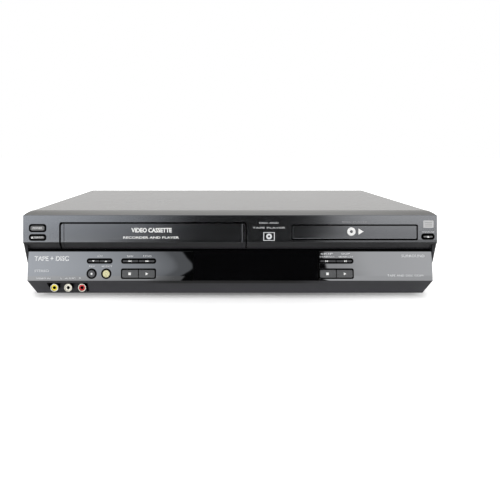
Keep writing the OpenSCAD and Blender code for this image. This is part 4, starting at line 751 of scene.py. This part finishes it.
def choose_edges(piece, sharp, test):
    """Selects edges whose faces meet at more than sharp degrees and that pass the test, if any,
    which is given the edge's middle and its run."""
    mesh = piece.data
    faces_at = {}
    for face in mesh.polygons:
        for key in face.edge_keys:
            faces_at.setdefault(key, []).append(face)
    count = 0
    for edge in mesh.edges:
        faces = faces_at.get(edge.key, [])
        a, b = (mesh.vertices[i].co for i in edge.vertices)
        bend = faces[0].normal.angle(faces[1].normal, 0) if len(faces) == 2 else 0
        edge.select = bend > math.radians(sharp) and (not test or test((a + b) / 2, b - a))
        count += edge.select
    return count


def round_edges(piece, width, steps=2, sharp=30, test=None):
    """Bevels the chosen edges to width metres."""
    activate(piece, "EDGE")
    count = choose_edges(piece, sharp, test)
    to_mode("EDIT")
    if count:
        bpy.ops.mesh.bevel(offset=width, segments=steps, affect="EDGES", clamp_overlap=True)
    to_mode("OBJECT")
    return count


def welded_copy(node, name):
    """The node's shape as an ordinary mesh: welded, with flat areas joined into single faces."""
    piece = new_object(name, nodes[node].data.copy())
    piece.data.name = name
    activate(piece)
    bpy.ops.mesh.customdata_custom_splitnormals_clear()
    weld(piece, 0.002 * MM)
    bpy.ops.mesh.dissolve_limited(angle_limit=math.radians(1.0))
    to_mode("OBJECT")
    return piece


def settle(piece, body, finish_name, node=None, smooth=35):
    """Finish, smooth shading, body and slot of a finished piece, which may stand for a node."""
    activate(piece)
    bpy.ops.object.shade_smooth_by_angle(angle=math.radians(smooth))
    even = piece.modifiers.new("even_shading", "WEIGHTED_NORMAL")
    even.weight = 100
    even.keep_sharp = True
    bpy.ops.object.modifier_apply(modifier=even.name)
    piece.data.materials.clear()
    piece.data.materials.append(made[finish_name])
    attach(piece, body)
    if node:
        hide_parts(node)


def paint_shade_black(piece, unlit):
    """Paints the faces whose middle and normal pass the test black, as painted shade in deep
    grooves.
    """
    piece.data.materials.append(made["groove_black"])
    for face in piece.data.polygons:
        if unlit(face.center, face.normal):
            face.material_index = 1


def stand_in(piece, node, width, finish_name=None, steps=2, sharp=30, test=None, unlit=None):
    """Rounds the sharp edges of a node's copy, which then stands for the node."""
    count = round_edges(piece, width, steps, sharp, test)
    settle(piece, body_of[node], finish_name or slot_of[node], node)
    if unlit:
        paint_shade_black(piece, unlit)
    print(piece.name, count, "edges,", len(piece.data.polygons), "faces")


def softened(node, name, *how, **more):
    """Copies a node and rounds the copy, as stand_in does."""
    stand_in(welded_copy(node, name), node, *how, **more)


print("piece tools ready")

# %% [markdown]
# ## Every solid gets its finish
# The record says which material each solid is made of, so one loop can dress them all. The
# pieces made after this stand in front of some of them.

# %% Finishes for all solids
for name, node in nodes.items():
    node.data.materials.clear()
    node.data.materials.append(made[slot_of[name]])
nodes["front_board"].data.materials[0] = made["front_circuit_board"]
print("dressed", len(nodes), "solids")

# %% [markdown]
# ## The cover
# One sheet is folded down at both sides and at the back. Its folds have an outside radius of
# about the sheet's thickness, and its cut edges are only deburred. So the long folds are
# bevelled first in several steps, and what is still sharp after that gets a fine bevel.

# %% The cover
low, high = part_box("top_cover")
cover = welded_copy("top_cover", "cover_sheet")


def on_fold(middle, run):
    at_top = middle.z > high.z - 0.0001
    side = abs(abs(middle.x) - high.x) < 0.0001 and abs(run.y) > 0.05
    back = middle.y > high.y - 0.0001 and abs(run.x) > 0.05
    return at_top and (side or back)


folds = round_edges(cover, 1.1 * MM, 4, 60, on_fold)
rest = round_edges(cover, 0.18 * MM, 1, 60)
settle(cover, BODY, "cover_paint", "top_cover", smooth=50)
print("cover:", folds, "folds and", rest, "cut edges")

# %% [markdown]
# ## The front moulding
# The front is one deep moulding. Its outside edges are rounded by a few tenths of a millimetre,
# where the tool was polished. Ribs and bosses inside stay sharp, since nobody sees them. Grooves
# around the keys and walls beside the sockets are deep and unlit, so their faces get a black
# finish of their own, which is painted shade.

# %% The front moulding
GROOVES = [(-208.5, -191.1, 60.6, 77.7), (198.7, 212.3, 61.7, 67.9)]
SOCKET_WALLS = (-193.5, -143.5, 5.0, 18.5)


def depth(spot):
    """How far a point lies behind the face, in millimetres."""
    return (spot.y - FACE_Y) / MM


def in_boxes(spot, boxes, grow=0.0):
    return any(x0 - grow < spot.x / MM < x1 + grow and z0 - grow < spot.z / MM < z1 + grow
               for x0, x1, z0, z1 in boxes)


def on_outside(middle, run):
    if in_boxes(middle, GROOVES, 0.3) or run.length < 4 * MM:
        return False
    return depth(middle) < 12.5 or (depth(middle) < 21 and middle.z > 87 * MM)


def in_shadow(centre, normal):
    groove = in_boxes(centre, GROOVES, 0.02) and 0.1 < depth(centre) < 4
    wall = in_boxes(centre, [SOCKET_WALLS]) and normal.y > -0.5 and 0.2 < depth(centre) < 11
    return groove or wall


softened("front_fascia", "front_moulding", 0.35 * MM, sharp=25, test=on_outside, unlit=in_shadow)

# %% [markdown]
# ## Key panel and window
# The panel leans back a little. Its own edges are crisp, with a fine radius, and the grooves
# around its keys are painted black inside like those above, as painted shade.

# %% Key panel and window
PANEL_BOTTOM = 19.0 * MM
PANEL_LEAN = 2.8 / 31.0


def panel_y(z):
    """Depth of the key panel's leaning face at a height."""
    return FACE_Y + (z - PANEL_BOTTOM) * PANEL_LEAN


WINDOW_SIDES = [corner.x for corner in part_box("display_window")]
PANEL_INSIDE = (-209.0, 209.0, 19.5, 49.5)


def in_panel(centre, normal):
    deep = centre.y > panel_y(centre.z) + 0.35 * MM and in_boxes(centre, [PANEL_INSIDE])
    beside = min(abs(centre.x - side) for side in WINDOW_SIDES) < 0.4 * MM
    return deep or (normal.y > -0.97 and beside)


softened("control_panel", "key_panel", 0.22 * MM, sharp=40, unlit=in_panel,
         test=lambda m, r: m.y < panel_y(m.z) + 0.3 * MM and r.length > 0.1 * MM)
# The window's edge faces are painted black too, as painted shade.
softened("display_window", "smoked_window", 0.15 * MM, unlit=lambda c, n: n.y > -0.97)

# %% [markdown]
# The moulding goes on beside the panel's upper corners as two thin cheeks, which taper away
# downwards. Each starts as a box whose corners are moved to where the cheek ends.

# %% Cheeks beside the key panel
CHEEK_TOP, CHEEK_LOW = 58.4 * MM, 37.0 * MM
INNER, OUTER_TOP, OUTER_LOW = 210.4, 214.9, 211.0
for side in (-1, 1):
    deselect()
    bpy.ops.mesh.primitive_cube_add(size=1)
    cheek = bpy.context.object
    cheek.name = cheek.data.name = "cheek_right" if side > 0 else "cheek_left"
    for vertex in cheek.data.vertices:
        upper, outer, rear = vertex.co.z > 0, vertex.co.x * side > 0, vertex.co.y > 0
        across = (OUTER_TOP if upper else OUTER_LOW) if outer else INNER
        behind = 14.0 if rear else 0.7 if upper else 1.9
        vertex.co = (side * across * MM, FACE_Y + behind * MM, CHEEK_TOP if upper else CHEEK_LOW)
    round_edges(cheek, 0.25 * MM, 2, 40)
    settle(cheek, BODY, "fascia_plastic")
print("two cheeks")

# %% [markdown]
# ## Door and tray front
# Both doors are thin plates in line with the face. They share its lacquer, but only on the
# outside: their backs are bare plastic.

# %% Door and tray front
softened("cassette_door", "bay_door", 0.25 * MM, "door_lacquer", sharp=20,
         test=lambda m, r: depth(m) < 6 and r.length > 1.5 * MM)
softened("tray_front", "tray_door", 0.45 * MM, "tray_front_lacquer", 3, 40,
         lambda m, r: depth(m) < 1)

# %% [markdown]
# ## Keys
# Fifteen caps. Their faces have a small rounded border all round, and their sides are painted
# black, as shade in their grooves. The three keys of the upper face are lighter than those on the
# panel.

# %% Keys
KEY_FINISH = {
    "record": "key_record", "select": "key_green",
    **dict.fromkeys(("power", "eject", "open_close"), "key_silver"),
    **dict.fromkeys(("tape_stop", "tape_play", "disc_stop", "disc_play"), "key_mid"),
}
keys = [name for name in nodes if name.endswith("_button")]
for name in keys:
    key = name.replace("_button", "")
    softened(name, key + "_cap", 0.28 * MM, KEY_FINISH.get(key, "key_dark"), 3, 40,
             lambda m, r: m.y < panel_y(m.z) + 0.4 * MM, lambda c, n: n.y > -0.93)
print(len(keys), "keys")

# %% [markdown]
# ## Front sockets
# Each socket is a pale satin sleeve around a coloured ring. The three rings are one node, so a
# copy is made for each colour and the other two rings are removed from it. The sleeves' sides and
# the rings' bores are painted black, as painted shade.

# %% Front sockets
SOCKET_X = [-183.1 * MM, -168.7 * MM, -154.3 * MM]
SOCKET_Z = 11.1 * MM


def socket_radius(spot):
    """Distance of a point from the middle line of the nearest socket."""
    return min(math.hypot(spot.x - middle, spot.z - SOCKET_Z) for middle in SOCKET_X)


softened("front_jack_sleeves", "socket_sleeves", 0.32 * MM, "sleeve_nickel", 2, 50,
         lambda m, r: depth(m) < 2.5 and socket_radius(m) > 3.7 * MM, lambda c, n: n.y > -0.9)
for word, middle in zip(SOCKET_COLOURS, SOCKET_X):
    ring = welded_copy("front_jack_inserts", "socket_ring_" + word)
    activate(ring, "FACE")
    for face in ring.data.polygons:
        face.select = abs(face.center.x - middle) > 7.2 * MM
    to_mode("EDIT")
    bpy.ops.mesh.delete(type="FACE")
    to_mode("OBJECT")
    round_edges(ring, 0.35 * MM, 2, 50, lambda m, r: depth(m) < 3)
    settle(ring, BODY, "socket_" + word, "front_jack_inserts")
    # Painted shade: the bore of each ring is black.
    paint_shade_black(ring, lambda c, n: abs(n.y) < 0.5 and socket_radius(c) < 2.4 * MM)
print("three coloured rings")

# %% [markdown]
# ## Parts seen at the back, below and through the openings
# These are softened in the same way, with a width that suits their size.

# %% Parts at the back and inside
SOFT_WIDTHS = {
    "feet": 0.8, "cover_screws": 0.3, "mains_inlet": 0.3, "scart_sockets": 0.25,
    "rear_jack_block": 0.25, "tuner_box": 0.25, "disc_tray": 0.3, "cassette_holder": 0.2,
    "front_jack_block": 0.2, "pickup_sled": 0.25, "clamp_disc": 0.25, "turntable": 0.2,
    "supply_reel": 0.25, "takeup_reel": 0.25, "head_drum": 0.3, "drum_base": 0.3,
    "deck_motor": 0.25, "drive_motors": 0.2, "drive_frame": 0.25, "power_board_parts": 0.25,
    "main_board_parts": 0.2, "front_board_parts": 0.15,
}
OTHER_FINISH = {"rear_jack_block": "rear_jack_colours", "front_jack_block": "jack_block"}
for name, width in SOFT_WIDTHS.items():
    softened(name, name + "_soft", width * MM, OTHER_FINISH.get(name))

# %% [markdown]
# The pinch roller swings close over the capstan's bushing, so the lower end of its copy is
# raised by a fifth of a millimetre before its edges are rounded.

# %% Pinch arm
ROLLER_LOW, ROLLER_LIFT = 44.0 * MM, 0.2 * MM
arm = welded_copy("pinch_arm", "pinch_arm_soft")
for vertex in arm.data.vertices:
    if abs(vertex.co.z - ROLLER_LOW) < 0.01 * MM:
        vertex.co.z += ROLLER_LIFT
stand_in(arm, "pinch_arm", 0.2 * MM)

# %% [markdown]
# ## Printed words and signs
# Pad printing lays ink a few hundredths of a millimetre thick on the plastic. Text objects are
# turned into meshes, scaled to the height and width they have on the front, and set on the face
# that carries them. The key panel leans back, so what is printed on it, or on its keys, leans as
# well. Only plain words and the common signs for play, stop, record and eject are used.

# %% Ink on the front
INK = 0.03 * MM


def onto_face(piece, x, z, wide, tall, proud=0.0, back=None):
    """Scales flat artwork lying in the XY plane and sets it at (x, z), in millimetres, on the front
    or on the back, whose y is given then. A fifth of the ink's thickness is inside the plastic."""
    activate(piece)
    bpy.ops.object.origin_set(type="ORIGIN_GEOMETRY", center="BOUNDS")
    size = piece.dimensions
    piece.scale = (wide * MM / size.x, tall * MM / size.y, INK / size.z)
    x, z = x * MM, z * MM
    lean, front = (math.atan(PANEL_LEAN), panel_y(z)) if z < PANEL_TOP else (0.0, FACE_Y)
    piece.rotation_euler = (math.radians(90) - lean, 0, 0)
    piece.location = (x, front - proud - INK * 0.3, z)
    if back:
        piece.rotation_euler = (math.radians(90), 0, math.radians(180))
        piece.location = (x, back + INK * 0.3, z)
    bpy.ops.object.transform_apply(location=True, rotation=True, scale=True)
    return piece


def words(text, x, z, tall, wide, proud=0.0, bold=0.0, back=None):
    deselect()
    bpy.ops.object.text_add()
    letters = bpy.context.object
    letters.data.body = text
    letters.data.extrude = 0.05
    letters.data.offset = bold
    letters.data.resolution_u = 3
    bpy.ops.object.convert(target="MESH")
    weld(letters, 0.0001)
    to_mode("OBJECT")
    return onto_face(letters, x, z, wide, tall, proud, back)


def outline(sides, turn, ring=0.0, corner=0.0):
    """A flat shape with straight sides, turned by so many degrees and given a thickness. ring
    leaves only a border of that width, and corner cuts the corners round."""
    deselect()
    bpy.ops.mesh.primitive_circle_add(vertices=sides, radius=1, fill_type="NGON")
    shape = bpy.context.object
    shape.rotation_euler = (0, 0, math.radians(turn))
    bpy.ops.object.transform_apply(location=False, rotation=True, scale=False)
    to_mode("EDIT")
    select_mesh()
    if corner:
        bpy.ops.mesh.bevel(offset=corner, segments=3, affect="VERTICES")
        select_mesh()
    if ring:
        bpy.ops.mesh.inset(thickness=ring)
        bpy.ops.mesh.delete(type="FACE")
        select_mesh()
    bpy.ops.mesh.extrude_region_move(TRANSFORM_OT_translate={"value": (0, 0, 0.1)})
    select_mesh()
    bpy.ops.mesh.normals_make_consistent(inside=False)
    to_mode("OBJECT")
    return shape


SHAPES = {"play": (3, -90), "back": (3, 90), "up": (3, 0), "down": (3, 180), "stop": (4, 45),
          "dot": (32, 0), "disc": (48, 0, 0.62), "plate": (4, 45, 0.0, 0.12),
          "frame": (4, 45, 0.10)}


def sign(kind, x, z, wide, tall, proud=0.0):
    return onto_face(outline(*SHAPES[kind]), x, z, wide, tall, proud)


def printed(name, body, artwork, ink="print_light"):
    """Joins artwork into one piece that moves with the body it is printed on."""
    activate(artwork[0])
    for piece in artwork[1:]:
        piece.select_set(True)
    if len(artwork) > 1:
        bpy.ops.object.join()
    whole = bpy.context.object
    whole.name = whole.data.name = name
    whole.data.materials.clear()
    whole.data.materials.append(made[ink])
    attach(whole, body)
    print(name, len(whole.data.polygons), "faces")


print("ink", round(INK / MM, 3), "mm thick")

# %% [markdown]
# What is printed on the case stays with it, and what is on the door or on the tray front moves
# with that, so each gets a print of its own.

# %% Words and signs on the face, the door and the tray
printed("face_print", BODY, [
    words("DISC AND", 40.3, 79.0, 1.7, 20), words("TAPE PLAYER", 40.3, 73.9, 1.7, 34),
    words("OPEN/CLOSE", 205.8, 69.5, 1.3, 12.4),
])
printed("dim_print", BODY,
        [words("DISC PLAYER", 129.8, 80.0, 1.4, 26)], "print_grey")
printed("face_plates", BODY, [
    sign("frame", 40.5, 64.9, 11.8, 8.8), sign("disc", 40.5, 64.9, 6.0, 6.0),
])
printed("lined_plate", BODY, [sign("plate", 206.0, 77.7, 10.6, 7.6)], "plate_ink")
printed("door_print", "door", [
    words("VIDEO CASSETTE", -81.5, 71.4, 4.8, 42, bold=0.035),
    words("RECORDER AND PLAYER", -82.0, 63.8, 2.3, 58, bold=0.02),
], "print_white")
printed("tray_print", "tray", [
    sign("disc", 126.0, 70.0, 8.6, 8.6), sign("play", 136.0, 70.0, 5.4, 6.4),
], "print_white")

# %% [markdown]
# On the key panel every word has a row: the text, its middle, its height and its width.

# %% Words on the key panel
PANEL_TITLE = ("TAPE + DISC", -186.0, 41.6, 5.0, 36)
PANEL_WORDS = [
    ("STEREO", -196.0, 29.0, 2.2, 15), ("VIDEO IN", -194.0, 21.4, 1.4, 15),
    ("L   AUDIO   R", -165.5, 21.4, 1.4, 21), ("CH", -135.8, 44.2, 1.7, 5),
    ("REC", -143.6, 33.7, 1.4, 6), ("SELECT", -128.2, 33.7, 1.4, 11),
    ("REW", -103.9, 44.0, 1.7, 6.5), ("F.FWD", -86.2, 44.0, 1.7, 8.5),
    ("SKIP", 101.0, 46.4, 1.6, 13), ("SEARCH", 101.0, 43.4, 1.4, 15),
    ("SKIP", 120.5, 46.4, 1.6, 9), ("SEARCH", 120.5, 43.4, 1.4, 15),
    ("SURROUND", 190.8, 44.2, 2.6, 24), ("TAPE AND DISC COPY", 182.5, 24.2, 2.0, 38),
]
printed("panel_print", BODY,
        [words(*PANEL_TITLE, bold=0.03)] + [words(*row) for row in PANEL_WORDS])

# %% [markdown]
# Each key's signs move with the key. They stand on its cap, half a millimetre before the face.

# %% Signs on the keys
CAP = 0.5 * MM
FLAT_Z, TALL_Z = 39.0, 26.1
SIGNS = {
    "power": [("words", "POWER", -199.8, 73.6, 2.0, 10.0)],
    "eject": [("up", -205.3, 63.9, 2.6, 1.9), ("words", "EJECT", -198.4, 63.9, 1.7, 8.6)],
    "open_close": [("up", 205.45, 64.8, 2.6, 2.0)],
    "channel_down": [("down", -142.3, FLAT_Z, 2.6, 1.5)],
    "channel_up": [("up", -129.3, FLAT_Z, 2.6, 1.5)],
    "rewind": [("back", x, FLAT_Z, 1.9, 1.9) for x in (-105.4, -103.6)],
    "fast_forward": [("play", x, FLAT_Z, 1.9, 1.9) for x in (-87.0, -85.2)],
    "skip_back": [("back", 100.9, FLAT_Z, 1.9, 1.9), ("stop", 99.5, FLAT_Z, 0.5, 1.9)],
    "skip_forward": [("play", 119.9, FLAT_Z, 1.9, 1.9), ("stop", 121.3, FLAT_Z, 0.5, 1.9)],
    "tape_stop": [("stop", -104.3, TALL_Z, 2.6, 2.6)],
    "tape_play": [("play", -86.4, TALL_Z, 2.7, 3.0)],
    "disc_stop": [("stop", 101.2, TALL_Z, 2.6, 2.6)],
    "disc_play": [("play", 119.5, TALL_Z, 2.7, 3.0)],
    "record": [("dot", -143.9, TALL_Z, 2.2, 2.2)],
}
for key, rows in SIGNS.items():
    art = [words(*row[1:], proud=CAP) if row[0] == "words" else sign(*row, proud=CAP)
           for row in rows]
    printed(key + "_sign", key, art, "print_white")
print(len(SIGNS), "keys signed")

# %% [markdown]
# At the back each group of sockets is named in black, and the supply's voltage stands beside the
# mains inlet. The letters are turned round, so that they read from behind.

# %% Words at the back
REAR_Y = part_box("rear_panel")[1].y
BACK_WORDS = [
    ("AERIAL OUT", -125.2, 63.5, 2.0, 17), ("AERIAL IN", -125.2, 40.5, 2.0, 14),
    ("AV 1", -68.2, 64.0, 2.4, 8), ("AV 2", -68.2, 39.0, 2.4, 8),
    ("VIDEO   L  AUDIO  R   DIGITAL", -2.2, 59.5, 1.8, 54), ("AC IN", 185.0, 37.0, 2.2, 11),
    ("220 - 240 V   50 Hz   26 W", 145.0, 22.0, 2.0, 42),
    ("DISC AND TAPE PLAYER", 145.0, 27.0, 2.4, 42),
]
printed("back_print", BODY,
        [words(*row, bold=0.01, back=REAR_Y) for row in BACK_WORDS], "groove_black")
